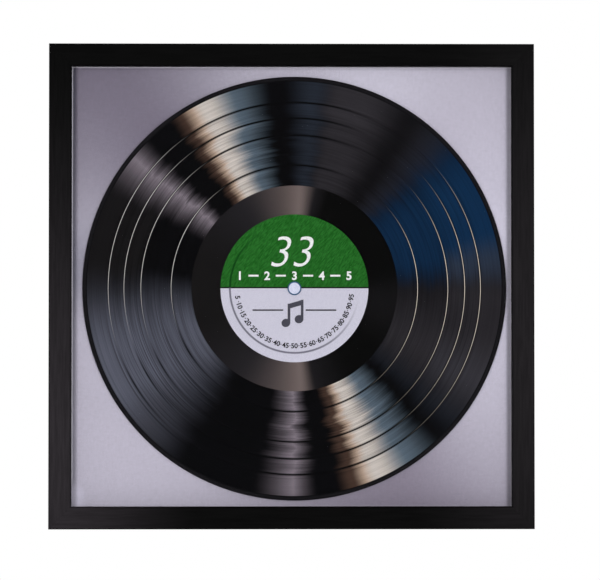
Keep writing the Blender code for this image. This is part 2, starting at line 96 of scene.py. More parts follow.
class Tone(Enum):
    """The colours that the pieces share, as sRGB bytes."""

    VOID = (3, 3, 5)
    NIGHT = (30, 35, 44)
    NAVY = (8, 36, 64)
    COAL = (40, 38, 42)
    PETROL = (86, 100, 113)
    SILVER = (198, 190, 184)
    CREAM = (180, 156, 138)
    UMBER = (66, 49, 41)
    LILAC = (122, 113, 122)
    SLATE = (79, 81, 93)
    TAUPE = (107, 95, 93)
    SOOT = (29, 27, 28)
    PITCH = (3, 3, 3)
    THREAD = (222, 212, 198)
    WIRE = (212, 209, 206)
    STEEL = (46, 54, 68)
    PAPER = (203, 201, 216)
    CHALK = (238, 240, 240)
    GRAPHITE = (74, 73, 84)
    LEAD = (24, 22, 29)


def linear(colour: Colour) -> tuple[float, ...]:
    """Turns a colour written in sRGB bytes into Blender's linear values.

    Args:
        colour: red, green and blue from 0 to 255.

    Returns:
        The linear red, green and blue, with an alpha of 1.
    """
    shares = [value / 255 for value in colour]
    made = [s / 12.92 if s <= 0.04045 else ((s + 0.055) / 1.055) ** 2.4 for s in shares]
    return (made[0], made[1], made[2], 1.0)


@dataclass(frozen=True)
class Glow:
    """A band of painted light on the disc, fixed to it, that spreads from its centre like a fan.

    The centre and the widths are in degrees, anticlockwise from the viewer's right. The band is full within
    hold of its centre and fades over before on its low side and over after on its high side: evenly, or
    faster near its centre where that side has a crest.
    """

    tone: Tone
    centre: float
    before: float
    after: float
    hold: float = 0.0
    share: float = 1.0
    crest_before: bool = False
    crest_after: bool = False


@dataclass(frozen=True)
class Place:
    """Where a CAD node lies at rest."""

    low: Vector
    high: Vector

    @classmethod
    def of(cls, *nodes: str) -> "Place":
        """The box round CAD nodes.

        Args:
            nodes: the nodes' names.

        Returns:
            The box.
        """
        corners = [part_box(node) for node in nodes]
        low = Vector([min(pair[0][axis] for pair in corners) for axis in range(3)])
        high = Vector([max(pair[1][axis] for pair in corners) for axis in range(3)])
        return cls(low, high)

    @property
    def middle(self) -> Vector:
        """The box's middle."""
        return (self.low + self.high) / 2

    @property
    def size(self) -> Vector:
        """The box's sides."""
        return self.high - self.low

    def at_depth(self, y: float) -> Vector:
        """The point of the box's middle line, front to back, at a depth."""
        return Vector((self.middle.x, y, self.middle.z))


def painted(colour: object) -> object:
    """A colour as a socket takes it: a tone or sRGB bytes made linear, and all else as it is."""
    value = colour.value if isinstance(colour, Tone) else colour
    return linear(value) if isinstance(value, tuple) and len(value) == 3 else value


class Nodes:
    """Short calls for the nodes of a material or of the world."""

    def __init__(self, tree: bpy.types.NodeTree) -> None:
        """Takes the tree to work on."""
        self.tree = tree

    def feed(self, socket: Socket, value: object) -> None:
        """Links a socket to another node's output, or sets it to a plain value.

        Args:
            socket: the socket.
            value: the output or the value.
        """
        if isinstance(value, Socket):
            self.tree.links.new(value, socket)
        else:
            socket.default_value = value

    def add(self, kind: str, inputs: dict, output: int = 0, **settings: object) -> Socket:
        """Adds a node.

        Args:
            kind: the node's type, after the word ShaderNode.
            inputs: values or sockets by the input's index or name.
            output: which output to return.
            settings: the node's own settings.

        Returns:
            The node's output.
        """
        node = self.tree.nodes.new("ShaderNode" + kind)
        for name, value in settings.items():
            setattr(node, name, value)
        for key, value in inputs.items():
            self.feed(node.inputs[key], value)
        return node.outputs[output]

    def rays(self) -> bpy.types.bpy_prop_collection:
        """What is known of the ray that looks, by name."""
        return self.tree.nodes.new("ShaderNodeLightPath").outputs

    def maths(self, operation: str, *values: object) -> Socket:
        """One step of arithmetic."""
        return self.add("Math", dict(enumerate(values)), operation=operation)

    def times(self, first: object, second: object) -> Socket:
        """The product of two numbers."""
        return self.maths("MULTIPLY", first, second)

    def beyond(self, value: object, other: object) -> Socket:
        """How much a number is above another."""
        return self.maths("SUBTRACT", value, other)

    def apart(self, value: object, other: object) -> Socket:
        """How far two numbers lie apart."""
        return self.maths("ABSOLUTE", self.beyond(value, other))

    def most(self, values: Iterable[Socket]) -> Socket:
        """The greatest of several numbers."""
        return reduce(lambda first, second: self.maths("MAXIMUM", first, second), values)

    def axes(self, where: Socket) -> tuple[Socket, ...]:
        """Takes coordinates apart.

        Args:
            where: the coordinates.

        Returns:
            Their parts along X, Y and Z.
        """
        node = self.tree.nodes.new("ShaderNodeSeparateXYZ")
        self.feed(node.inputs[0], where)
        return tuple(node.outputs)

    def remap(
        self, value: Socket, low: float, high: float, to_low: float = 0.0, to_high: float = 1.0
    ) -> Socket:
        """A smooth step from to_low at low to to_high at high."""
        inputs = {"Value": value, 1: low, 2: high, 3: to_low, 4: to_high}
        return self.add("MapRange", inputs, interpolation_type="SMOOTHSTEP")


class Recipe(Nodes):
    """A material under construction: short calls for what the finishes share."""

    def __init__(self, name: str, roughness: float, metallic: float = 0.0, gloss: float = 0.5) -> None:
        """Starts a material.

        Args:
            name: the material's name.
            roughness: its roughness where no pattern drives it.
            metallic: 1 for bare metal.
            gloss: its specular level, where 0.5 is a common plastic.
        """
        self.material = bpy.data.materials.new(name)
        self.material.use_nodes = True
        super().__init__(self.material.node_tree)
        self.shader = self.tree.nodes["Principled BSDF"]
        self.set("Roughness", roughness)
        self.set("Metallic", metallic)
        self.set("Specular IOR Level", gloss)

    def set(self, name: str, value: object) -> None:
        """Sets or feeds one of the shader's sockets."""
        self.feed(self.shader.inputs[name], value)

    def spot(
        self,
        centre: Sequence[float] = (0, 0, 0),
        size: Sequence[float] | float = 1.0,
        turn: Sequence[float] = (0, 0, 0),
    ) -> Socket:
        """Object coordinates from a centre, along axes that may be turned, in units of a feature's size.

        Args:
            centre: where they start.
            size: the size of a feature in metres, one for all three axes or one for each.
            turn: how far the axes are turned.

        Returns:
            The coordinates.
        """
        sizes = (size,) * 3 if isinstance(size, float) else tuple(size)
        inputs = {0: self.add("TexCoord", {}, output=3), 1: tuple(centre), 2: tuple(turn), 3: sizes}
        return self.add("Mapping", inputs, vector_type="TEXTURE")

    def length(self, where: Socket) -> Socket:
        """How far some coordinates lie from their centre."""
        return self.add("VectorMath", {0: where}, output=1, operation="LENGTH")

    def noise(self, where: Socket, detail: float = 3.0, roughness: float = 0.55) -> Socket:
        """Soft noise about a half, in three dimensions."""
        inputs = {"Vector": where, "Scale": 1.0, "Detail": detail, "Roughness": roughness}
        return self.add("TexNoise", inputs)

    def mix(self, share: object, first: object, second: object) -> Socket:
        """Blends two colours, each a socket, a tone or sRGB bytes."""
        inputs = {0: share, 6: painted(first), 7: painted(second)}
        return self.add("Mix", inputs, output=2, data_type="RGBA", clamp_factor=True)

    def shade(self, colour: Socket, factor: Socket) -> Socket:
        """A colour made brighter or darker by a number."""
        return self.add("VectorMath", {0: colour, "Scale": factor}, operation="SCALE")

    def bump(self, height: Socket, depth: float, strength: float = 1.0) -> None:
        """Feeds the shader's normal with a relief of that depth."""
        inputs = {"Strength": strength, "Distance": depth, "Height": height}
        self.set("Normal", self.add("Bump", inputs))


class Turned(Recipe):
    """A material that is laid out round a point of the front."""

    def __init__(self, name: str, centre: Vector, roughness: float, gloss: float) -> None:
        """Starts a material and reads each place's radius in metres and its angle in degrees.

        Args:
            name: the material's name.
            centre: the point. The angle runs anticlockwise from the viewer's right.
            roughness: its roughness.
            gloss: its specular level.
        """
        super().__init__(name, roughness, gloss=gloss)
        right, _, up = self.axes(self.spot(centre))
        self.sides = (right, up)
        self.radius = self.length(self.add("CombineXYZ", {0: right, 1: up}))
        self.angle = self.maths("DEGREES", self.maths("ARCTAN2", up, right))

    def ring_noise(self, rings: float, around: float, detail: float, roughness: float = 0.55) -> Socket:
        """Noise that is drawn out round the centre, without a seam.

        Args:
            rings: how many features a metre of radius holds.
            around: how many there are in about a radian.
            detail: how many finer layers it has.
            roughness: how strong they are.

        Returns:
            The noise, about a half.
        """
        across, up = (self.times(self.maths("DIVIDE", side, self.radius), around) for side in self.sides)
        where = self.add("CombineXYZ", {0: across, 1: up, 2: self.times(self.radius, rings)})
        return self.noise(where, detail, roughness)

    def glow(self, angle: Socket, band: Glow) -> Socket:
        """How far a band of light covers a place.

        Args:
            angle: the place's angle.
            band: the band.

        Returns:
            A number from 0 to the band's share.
        """
        away = self.maths("WRAP", self.beyond(angle, band.centre), 180.0, -180.0)
        rise = self.flank(away, -band.hold - band.before, -band.hold, band.crest_before)
        fall = self.flank(away, band.hold + band.after, band.hold, band.crest_after)
        return self.times(self.maths("MINIMUM", rise, fall), band.share)

    def flank(self, away: Socket, foot: float, top: float, crest: bool) -> Socket:
        """One side of a band.

        Args:
            away: the angle from the band's centre.
            foot: where the side starts.
            top: where it is full.
            crest: whether it rises to a crest, slowly at first.

        Returns:
            A number from 0 at its foot to 1 at its top.
        """
        if not crest:
            return self.remap(away, foot, top)
        line = self.add("MapRange", {"Value": away, 1: foot, 2: top}, interpolation_type="LINEAR")
        return self.maths("POWER", line, 2.0)

    def fan(self, angle: Socket, ground: object, bands: Iterable[Glow]) -> Socket:
        """Lays bands over a ground in order.

        Args:
            angle: the place's angle.
            ground: the colour under the bands.
            bands: the bands.

        Returns:
            The colour.
        """
        for band in bands:
            ground = self.mix(self.glow(angle, band), ground, band.tone)
        return ground


def arc(centre: Point, radius: float, start: float, sweep: float, steps: int) -> list[Point]:
    """Points on an arc, both ends included, whose start and sweep are in quarter turns."""
    angles = [QUARTER * (start + sweep * step / steps) for step in range(steps + 1)]
    return [(centre[0] + radius * math.cos(a), centre[1] + radius * math.sin(a)) for a in angles]


def blank() -> Shape:
    """An empty shape."""
    return bmesh.new()


def welded(shape: Shape) -> Shape:
    """Welds a shape's points and turns its faces outward.

    Args:
        shape: the shape.

    Returns:
        The same shape.
    """
    bmesh.ops.remove_doubles(shape, verts=shape.verts, dist=WELD)
    bmesh.ops.recalc_face_normals(shape, faces=shape.faces)
    return shape


def moved(shape: Shape, way: Sequence[float]) -> Shape:
    """Moves a shape and hands it back."""
    bmesh.ops.translate(shape, vec=way, verts=shape.verts)
    return shape


def lathe(profile: Sequence[Point], steps: int) -> Shape:
    """Turns a profile about Z.

    Args:
        profile: radius and height of each point. It closes on itself where it starts off the axis.
        steps: how many sides the turned shape has.

    Returns:
        The closed shape.
    """
    shape = blank()
    verts = [shape.verts.new((radius, 0, height)) for radius, height in profile]
    edges = [shape.edges.new(pair) for pair in zip(verts, verts[1:])]
    if profile[0][0] > 0:
        edges.append(shape.edges.new((verts[-1], verts[0])))
    bmesh.ops.spin(
        shape,
        geom=verts + edges,
        cent=(0, 0, 0),
        axis=(0, 0, 1),
        dvec=(0, 0, 0),
        angle=TURN,
        steps=steps,
        use_merge=True,
        use_duplicate=False,
    )
    return welded(shape)


def bar(size: Sequence[float], middle: Sequence[float] = (0, 0, 0), edge: float = 0.0) -> Shape:
    """A bar with eased edges.

    Args:
        size: its sides.
        middle: its middle.
        edge: how much its edges are eased.

    Returns:
        The shape.
    """
    shape = blank()
    bmesh.ops.create_cube(shape, size=1)
    bmesh.ops.scale(shape, vec=size, verts=shape.verts)
    moved(shape, middle)
    if edge:
        ease(shape, shape.edges, edge, 2)
    return shape


def disc_shape(radius: float, thickness: float, steps: int) -> Shape:
    """A flat round piece about the origin.

    Args:
        radius: its radius.
        thickness: its thickness.
        steps: how many sides it has.

    Returns:
        The shape.
    """
    shape = blank()
    bmesh.ops.create_cone(
        shape, cap_ends=True, segments=steps, radius1=radius, radius2=radius, depth=thickness
    )
    return shape


def ease(shape: Shape, edges: Iterable[bmesh.types.BMEdge], width: float, segments: int) -> None:
    """Rounds edges of a shape.

    Args:
        shape: the shape.
        edges: the edges.
        width: how far the round reaches.
        segments: how many steps it has.
    """
    bmesh.ops.bevel(
        shape,
        geom=list(edges),
        offset=width,
        offset_type="OFFSET",
        segments=segments,
        profile=0.5,
        affect="EDGES",
        clamp_overlap=True,
        material=-1,
    )


def crisp_edges(shape: Shape, angle: float = SHARP_ANGLE) -> list[bmesh.types.BMEdge]:
    """The edges where a shape turns by more than an angle."""
    return [edge for edge in shape.edges if edge.is_manifold and edge.calc_face_angle() > angle]


def only(items: Iterable[object], kind: type) -> list:
    """The items of one kind."""
    return [item for item in items if isinstance(item, kind)]


def draw_out(shape: Shape, drawn: dict, way: Sequence[float]) -> None:
    """Moves what an extrusion of a shape has made."""
    bmesh.ops.translate(shape, vec=way, verts=only(drawn["geom"], bmesh.types.BMVert))


def cut_along(
    shape: Shape, point: Sequence[float], normal: Sequence[float], clear: bool = False
) -> list[bmesh.types.BMEdge]:
    """Cuts a shape along a plane.

    Args:
        shape: the shape.
        point: a point of the plane.
        normal: the way that the plane faces.
        clear: whether what lies before the plane is taken away.

    Returns:
        The edges that lie in the plane.
    """
    geom = list(shape.verts) + list(shape.edges) + list(shape.faces)
    sawn = bmesh.ops.bisect_plane(
        shape, geom=geom, dist=WELD, plane_co=point, plane_no=normal, clear_outer=clear
    )
    return only(sawn["geom_cut"], bmesh.types.BMEdge)


def in_scene(obj: bpy.types.Object) -> bpy.types.Object:
    """Puts an object in the scene and hands it back."""
    bpy.context.scene.collection.objects.link(obj)
    return obj


def flattened(obj: bpy.types.Object) -> Shape:
    """Takes an object's finished shape, and removes the object.

    Args:
        obj: the object, with its modifiers or its curves, not yet in the scene.

    Returns:
        The welded shape.
    """
    in_scene(obj)
    graph = bpy.context.evaluated_depsgraph_get()
    mesh = bpy.data.meshes.new_from_object(obj.evaluated_get(graph))
    bpy.data.objects.remove(obj)
    shape = blank()
    shape.from_mesh(mesh)
    bpy.data.meshes.remove(mesh)
    return welded(shape)


def as_object(name: str, shape: Shape) -> bpy.types.Object:
    """Makes an object of a shape.

    Args:
        name: the object's name.
        shape: the shape, which is used up.

    Returns:
        The object, not yet in the scene.
    """
    mesh = bpy.data.meshes.new(name)
    shape.to_mesh(mesh)
    shape.free()
    return bpy.data.objects.new(name, mesh)


def combined(shape: Shape, tools: Sequence[Shape], operation: str) -> Shape:
    """Joins tools to a shape, or cuts them out of it.

    Args:
        shape: the shape to work on.
        tools: the shapes that are joined or cut out.
        operation: the Boolean's operation.

    Returns:
        The new shape.
    """
    work = as_object("work", shape)
    helpers = [in_scene(as_object("tool", tool)) for tool in tools]
    for helper in helpers:
        boolean = work.modifiers.new("tool", "BOOLEAN")
        boolean.operation = operation
        boolean.object = helper
    made = flattened(work)
    for helper in helpers:
        bpy.data.objects.remove(helper)
    return made


def flat_shape(outlines: Sequence[Sequence[Point]], thickness: float) -> Shape:
    """A flat piece about Z = 0.

    Args:
        outlines: closed outlines, the first outside and the rest its holes.
        thickness: the piece's thickness.

    Returns:
        The closed shape.
    """
    curve = bpy.data.curves.new("outline", "CURVE")
    curve.dimensions = "2D"
    curve.fill_mode = "BOTH"
    curve.extrude = thickness / 2
    for outline in outlines:
        spline = curve.splines.new("POLY")
        spline.points.add(len(outline) - 1)
        for point, (x, y) in zip(spline.points, outline):
            point.co = (x, y, 0, 1)
        spline.use_cyclic_u = True
    return flattened(bpy.data.objects.new("outline", curve))


def numerals(text: str, height: float, weight: float = 0.0, slant: float = 0.0) -> Shape:
    """Plain printed numerals about the origin, as a thin solid.

    Args:
        text: the numerals.
        height: their height.
        weight: how much bolder they are than the plain font, as a share of their size.
        slant: how much they lean.

    Returns:
        The shape.
    """
    curve = bpy.data.curves.new("numerals", "FONT")
    curve.body = text
    curve.offset = weight
    curve.shear = slant
    curve.resolution_u = 8
    curve.extrude = 0.5
    shape = flattened(bpy.data.objects.new("numerals", curve))
    low = Vector([min(vert.co[axis] for vert in shape.verts) for axis in range(3)])
    high = Vector([max(vert.co[axis] for vert in shape.verts) for axis in range(3)])
    size = height / (high.y - low.y)
    moved(shape, -(low + high) / 2)
    bmesh.ops.scale(shape, vec=(size, size, PRINT_THICKNESS), verts=shape.verts)
    return shape


def put(shape: Shape, matrix: Matrix) -> Shape:
    """Turns and moves a shape and hands it back."""
    bmesh.ops.transform(shape, matrix=matrix, verts=shape.verts)
    return shape


def gathered(shapes: Iterable[Shape]) -> Shape:
    """Puts several shapes that don't touch into one.

    Args:
        shapes: the shapes, which are used up.

    Returns:
        The whole.
    """
    whole = blank()
    for shape in shapes:
        mesh = bpy.data.meshes.new("share")
        shape.to_mesh(mesh)
        shape.free()
        whole.from_mesh(mesh)
        bpy.data.meshes.remove(mesh)
    return whole


def piece(
    name: str,
    shape: Shape,
    material: Material,
    replaces: Sequence[str] = (),
    body: str = "frame",
) -> None:
    """Finishes a shape as a piece of the frame.

    Args:
        name: the piece's name.
        shape: its shape in its place, which is used up.
        material: its material.
        replaces: the CAD nodes that it stands for.
        body: the body that it rides on.
    """
    obj = in_scene(as_object(name, shape))
    obj.data.materials.append(material)
    obj.data.shade_smooth()
    obj.data.set_sharp_from_angle(angle=SHARP_ANGLE)
    crisp = obj.modifiers.new("normals", "WEIGHTED_NORMAL")
    crisp.keep_sharp = True
    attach(obj, body)
    if replaces:
        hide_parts(*replaces)
    LOG.info("%s rides on %s, %d faces", name, body, len(obj.data.polygons))


def dress(node: str, material: Material) -> None:
    """Gives a CAD node that stays as it is its material.

    Args:
        node: the node's name.
        material: the material.
    """
    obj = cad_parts[node]
    obj.data.materials.clear()
    obj.data.materials.append(material)
    LOG.info("%s keeps its CAD shape", node)


# Finishes


@dataclass(frozen=True)
class Lacquer:
    """Satin black lacquer over a fine open grain, with painted sheen in greyer patches and painted shade at
    the edges.
    """

    name: str
    upright: bool
    deep: Colour = (12, 12, 12)
    low_left_sheen: Colour = (45, 42, 45)
    right_sheen: Colour = (34, 32, 34)
    roughness: float = 0.48
    gloss: float = 0.025
    grain_pitch: float = 0.0012
    grain_length: float = 0.022
    grain_relief: Point = (0.00003, 0.5)
    arris: float = 0.0014
    arris_shade: float = 0.5
    low_left_sheen_rise: float = 0.045
    low_left_sheen_reach: Triple = (0.11, 1.0, 0.30)
    right_sheen_rise: float = 0.134
    right_sheen_reach: Triple = (0.10, 1.0, 0.30)
    grain_shade: Ramp = (0.3, 0.7, 0.84, 1.18)
    grain_gloss: Ramp = (0.25, 0.75, 0.57, 0.41)

    def material(self, frame_place: Place, face: float) -> Material:
        """Mixes the finish.

        Args:
            frame_place: where the frame lies, which the painted sheen patches are measured from.
            face: how wide the rails are, seen from the front.

        Returns:
            The material.
        """
        recipe = Recipe(self.name, self.roughness, gloss=self.gloss)
        along, across = self.grain_length, self.grain_pitch
        size = (across, across, along) if self.upright else (along, across, across)
        grain = recipe.noise(recipe.spot(size=size), detail=4, roughness=0.6)
        low, high = frame_place.low, frame_place.high
        # Painted sheen: greyer patches low on the left rail and on the right rail.
        left = self.patch(recipe, (low.x, 0, low.z + self.low_left_sheen_rise), self.low_left_sheen_reach)
        right = self.patch(recipe, (high.x, 0, low.z + self.right_sheen_rise), self.right_sheen_reach)
        colour = recipe.mix(left, self.deep, self.low_left_sheen)
        colour = recipe.mix(right, colour, self.right_sheen)
        colour = recipe.shade(colour, recipe.remap(grain, *self.grain_shade))
        # Painted shade along the rails' inner and outer edges.
        colour = recipe.shade(colour, self.arrises(recipe, frame_place, face))
        recipe.set("Base Color", colour)
        recipe.set("Roughness", recipe.remap(grain, *self.grain_gloss))
        recipe.bump(grain, *self.grain_relief)
        return recipe.material

    def patch(self, recipe: Recipe, centre: Sequence[float], reach: Sequence[float]) -> Socket:
        """An oval place of the front, full at its middle and gone at its reach along each axis."""
        return recipe.remap(recipe.length(recipe.spot(centre, reach)), 0, 1, 1, 0)

    def arrises(self, recipe: Recipe, frame_place: Place, face: float) -> Socket:
        """How much painted shade darkens the lacquer along the rails' inner and outer edges.

        Args:
            recipe: the material.
            frame_place: where the frame lies.
            face: how wide the rails are.

        Returns:
            The factor for its colour.
        """
        half = frame_place.size.x / 2
        across, _, up = recipe.axes(recipe.spot(frame_place.middle))
        out = recipe.most(recipe.maths("ABSOLUTE", part) for part in (across, up))
        inner = recipe.remap(out, half - face, half - face + self.arris, self.arris_shade, 1)
        outer = recipe.remap(out, half - self.arris, half, 1, self.arris_shade)
        return recipe.times(inner, outer)


@dataclass(frozen=True)
class PictureGlass:
    """Clear glass with a coating that keeps reflections down, and a few faint wipe marks."""

    tint: Colour = (254, 254, 254)
    wiped: Colour = (250, 250, 250)
    gloss: float = 0.12
    ior: float = 1.25
    roughness: float = 0.004
    smear_size: Triple = (0.11, 0.11, 0.04)
    smear_turn: float = 0.6
    smear_tint: Point = (0.5, 0.8)
    smear_gloss: Ramp = (0.55, 0.8, 0.004, 0.006)

    def material(self) -> Material:
        """Mixes the finish, which is glass to the eye and lets all other light straight through.

        Returns:
            The material.
        """
        recipe = Recipe("picture_glass", self.roughness, gloss=self.gloss)
        smear = recipe.noise(recipe.spot(size=self.smear_size, turn=(0, self.smear_turn, 0)), detail=2)
        recipe.set("Base Color", recipe.mix(recipe.remap(smear, *self.smear_tint), self.tint, self.wiped))
        recipe.set("Roughness", recipe.remap(smear, *self.smear_gloss))
        recipe.set("Transmission Weight", 1.0)
        recipe.set("IOR", self.ior)
        rays = recipe.rays()
        looking = recipe.most((rays["Is Camera Ray"], rays["Is Transmission Ray"]))
        clear = recipe.add("BsdfTransparent", {})
        shown = recipe.add("MixShader", {0: looking, 1: clear, 2: recipe.shader.outputs[0]})
        recipe.feed(recipe.tree.nodes["Material Output"].inputs["Surface"], shown)
        return recipe.material


@dataclass(frozen=True)
class Groove:
    """The pressed disc's vinyl: a painted sheen of light bands in a fan that the grooves fray, over
    near-black.
    """

    wax_edge: float
    rim_foot: float
    gaps: tuple[float, ...]
    gap_width: float = 0.00072
    roughness: float = 0.22
    gloss: float = 0.04
    relief: Point = (0.00001, 0.12)
    # Painted sheen: the dim and bright bands of light on the playing surface.
    dim_bands: tuple[Glow, ...] = (
        Glow(Tone.COAL, 347, 24, 26, hold=2, share=0.6),
        Glow(Tone.NAVY, 22, 16, 24, hold=8),
        Glow(Tone.COAL, 47, 9, 12, share=0.38),
        Glow(Tone.COAL, 73, 17, 11, hold=3),
        Glow(Tone.NIGHT, 84, 6, 9.5),
        Glow(Tone.SLATE, 205, 30, 29, hold=4),
        Glow(Tone.NIGHT, 322, 8, 14, share=0.42),
        Glow(Tone.COAL, 335, 18, 20),
    )
    bright_bands: tuple[Glow, ...] = (
        Glow(Tone.PETROL, 110.5, 14, 9),
        Glow(Tone.UMBER, 122.4, 4, 5),
        Glow(Tone.CREAM, 118.8, 8, 4.8),
        Glow(Tone.SILVER, 116.6, 9.5, 4),
        Glow(Tone.LILAC, 141, 7, 12.4, crest_before=True, crest_after=True),
        Glow(Tone.LILAC, 269.8, 12, 7, crest_before=True, crest_after=True),
        Glow(Tone.PETROL, 301.5, 10, 13),
        Glow(Tone.UMBER, 287, 5, 5),
        Glow(Tone.CREAM, 291.5, 4.5, 9),
        Glow(Tone.SILVER, 293.8, 4, 10),
    )
    # Painted sheen on the dead wax.
    wax_bands: tuple[Glow, ...] = (
        Glow(Tone.SOOT, 195, 80, 60, hold=22, share=0.5),
        Glow(Tone.COAL, 105, 14, 62, share=0.75),
        Glow(Tone.COAL, 84, 15, 12, share=0.6),
        Glow(Tone.TAUPE, 87.5, 10.5, 37, crest_after=True),
        Glow(Tone.COAL, 262, 66, 30, share=0.8),
        Glow(Tone.TAUPE, 273, 39, 10, crest_before=True),
        Glow(Tone.COAL, 284, 8, 24, share=0.25),
        Glow(Tone.COAL, 352, 28, 20, share=0.2),
    )
    # Painted highlight lines in the track gaps, and the angles where the painted shade beside the gaps fades
    # out.
    gap_bands: tuple[Glow, ...] = (
        Glow(Tone.WIRE, 158, 26, 34, hold=10),
        Glow(Tone.THREAD, 2, 52, 34, hold=8),
    )
    gap_faint: tuple[Glow, ...] = (
        Glow(Tone.VOID, 50, 20, 22, hold=10, share=0.9),
        Glow(Tone.VOID, 190, 20, 20, hold=4),
        Glow(Tone.VOID, 232, 26, 20, share=0.85),
    )
    # Painted sheen, brighter and with more bands, in the outer rings.
    outer_span: Point = (0.100, 0.136)
    outer_sheen_lift: float = 1.22
    outer_foot: Point = (0.106, 0.114)
    outer_bands: tuple[Glow, ...] = (
        Glow(Tone.SOOT, 163, 12, 20, hold=8, share=0.5),
        Glow(Tone.SOOT, 221, 12, 14, share=0.25),
        Glow(Tone.SLATE, 333, 10, 14, share=0.12),
        Glow(Tone.COAL, 356, 12, 16, share=0.8),
        Glow(Tone.STEEL, 8, 9, 9, share=0.65),
    )
    lead_in: Point = (0.1345, 0.1365)
    # Painted shade beside the track gaps and painted highlight lines in them, as shares of a gap's width.
    gap_shade: Point = (0.15, 1.7)
    gap_line: Point = (0.1, 0.4)
    # The rim bead painted an even dark grey for its sheen, and painted shade in the crease at its foot.
    bead: Colour = (21, 20, 23)
    bead_start: Point = (0.0005, 0.0001)
    foot_line: Ramp = (0.0001, 0.0006, 0.8, 0)
    wax_blend: float = 0.0002
    # Painted sheen: an even lift over the whole colour, in place of the front lamps' reflections.
    sheen_lift: float = 0.0025
    # Painted shade on the grooves at the lower left.
    cut_seen: Glow = Glow(Tone.VOID, 212, 30, 30, hold=10, share=0.5)
    relief_rings: Point = (1400, 0.6)
    fray_rings: tuple[Point, Point] = ((130, 1.3), (620, 2.2))
    fray_broad: float = 5.5
    fray_fine: Point = (3.0, 8.0)
    streak_rings: Point = (900, 1.6)
    streak_levels: Ramp = (0.28, 0.66, 0.66, 1.12)
    thread_rings: Point = (1500, 0.3)
    thread_levels: Point = (0.58, 0.66)
    lead_in_fray: float = 0.15
    lead_in_streaks: float = 0.4
    fine_start: Point = (0.092, 0.098)
    fine_stop: Point = (0.108, 0.110)

    def material(self, centre: Vector) -> Material:
        """Mixes the finish.

        Args:
            centre: the disc's centre.

        Returns:
            The material.
        """
        recipe = Turned("pressed_vinyl", centre, self.roughness, self.gloss)
        wax = recipe.fan(recipe.angle, Tone.PITCH, self.wax_bands)
        edges = (self.wax_edge - self.wax_blend, self.wax_edge + self.wax_blend)
        colour = recipe.mix(recipe.remap(recipe.radius, *edges, 1, 0), self.play(recipe), wax)
        # The bead painted an even dark grey for its sheen, and painted shade at its foot.
        bead = recipe.remap(recipe.radius, *(self.rim_foot - inside for inside in self.bead_start))
        colour = recipe.mix(bead, colour, self.bead)
        foot = recipe.remap(recipe.apart(recipe.radius, self.rim_foot), *self.foot_line)
        colour = recipe.mix(foot, colour, Tone.VOID)
        # Painted sheen: an even lift over the whole colour.
        sheen_lifted = recipe.add("VectorMath", {0: colour, 1: (self.sheen_lift,) * 3}, operation="ADD")
        recipe.set("Base Color", sheen_lifted)
        recipe.bump(recipe.ring_noise(*self.relief_rings, detail=2), *self.relief)
        return recipe.material

    def play(self, recipe: Turned) -> Socket:
        """The playing surface: the painted fan of light, its painted streaks, and the track gaps with their
        painted shade and painted highlight lines.

        Args:
            recipe: the material.

        Returns:
            The colour.
        """
        frayed = self.frayed(recipe)
        play = recipe.fan(frayed, Tone.VOID, self.dim_bands)
        # Painted sheen, brighter and with more bands in the outer rings.
        outer = recipe.remap(recipe.radius, *self.outer_span)
        play = recipe.shade(play, recipe.remap(outer, 0, 1, 1, self.outer_sheen_lift))
        beyond = recipe.remap(recipe.radius, *self.outer_foot)
        for band in self.outer_bands:
            play = recipe.mix(recipe.times(beyond, recipe.glow(frayed, band)), play, band.tone)
        play = recipe.fan(frayed, play, self.bright_bands)
        play = recipe.shade(play, self.streaks(recipe))
        # Painted shade beside the track gaps, then painted highlight lines in them.
        faint = recipe.most(recipe.glow(recipe.angle, band) for band in self.gap_faint)
        dark = recipe.times(self.gap_mask(recipe, *self.gap_shade), recipe.beyond(1.0, faint))
        play = recipe.mix(dark, play, Tone.VOID)
        lit = recipe.fan(recipe.angle, play, self.gap_bands)
        return recipe.mix(self.gap_mask(recipe, *self.gap_line), play, lit)

    def frayed(self, recipe: Turned) -> Socket:
        """The angle that the light bands read, pushed to and fro from groove to groove.

        Args:
            recipe: the material.

        Returns:
            The angle in degrees.
        """
        broad_rings, fine_rings = self.fray_rings
        broad = recipe.ring_noise(*broad_rings, detail=1)
        fine = recipe.ring_noise(*fine_rings, detail=3, roughness=0.7)
        calm = recipe.remap(recipe.radius, *self.lead_in, 1, self.lead_in_fray)
        broad = recipe.times(recipe.beyond(broad, 0.5), calm)
        pushed = recipe.maths("MULTIPLY_ADD", broad, self.fray_broad, recipe.angle)
        little, much = self.fray_fine
        into = recipe.remap(recipe.radius, *self.fine_start, little, much)
        out = recipe.remap(recipe.radius, *self.fine_stop, much, little)
        reach = recipe.times(recipe.maths("MINIMUM", into, out), calm)
        return recipe.maths("MULTIPLY_ADD", recipe.beyond(fine, 0.5), reach, pushed)

    def streaks(self, recipe: Turned) -> Socket:
        """How bright the painted sheen is on each groove, with painted shade on the grooves at the lower
        left.

        Args:
            recipe: the material.

        Returns:
            The factor for its colour.
        """
        fine = recipe.ring_noise(*self.streak_rings, detail=3, roughness=0.65)
        thread = recipe.remap(recipe.ring_noise(*self.thread_rings, detail=1), *self.thread_levels)
        cut = recipe.times(thread, recipe.glow(recipe.angle, self.cut_seen))
        calm = recipe.remap(recipe.radius, *self.lead_in, 1, self.lead_in_streaks)
        bright = recipe.beyond(recipe.remap(fine, *self.streak_levels), 1.0)
        bright = recipe.maths("MULTIPLY_ADD", bright, calm, 1.0)
        return recipe.times(bright, recipe.beyond(1.0, cut))

    def gap_mask(self, recipe: Turned, full: float, gone: float) -> Socket:
        """Where a place lies in a track gap: full and gone at shares of its width from its middle."""
        reach = (self.gap_width * full, self.gap_width * gone)
        return recipe.most(recipe.remap(recipe.apart(recipe.radius, gap), *reach, 1, 0) for gap in self.gaps)


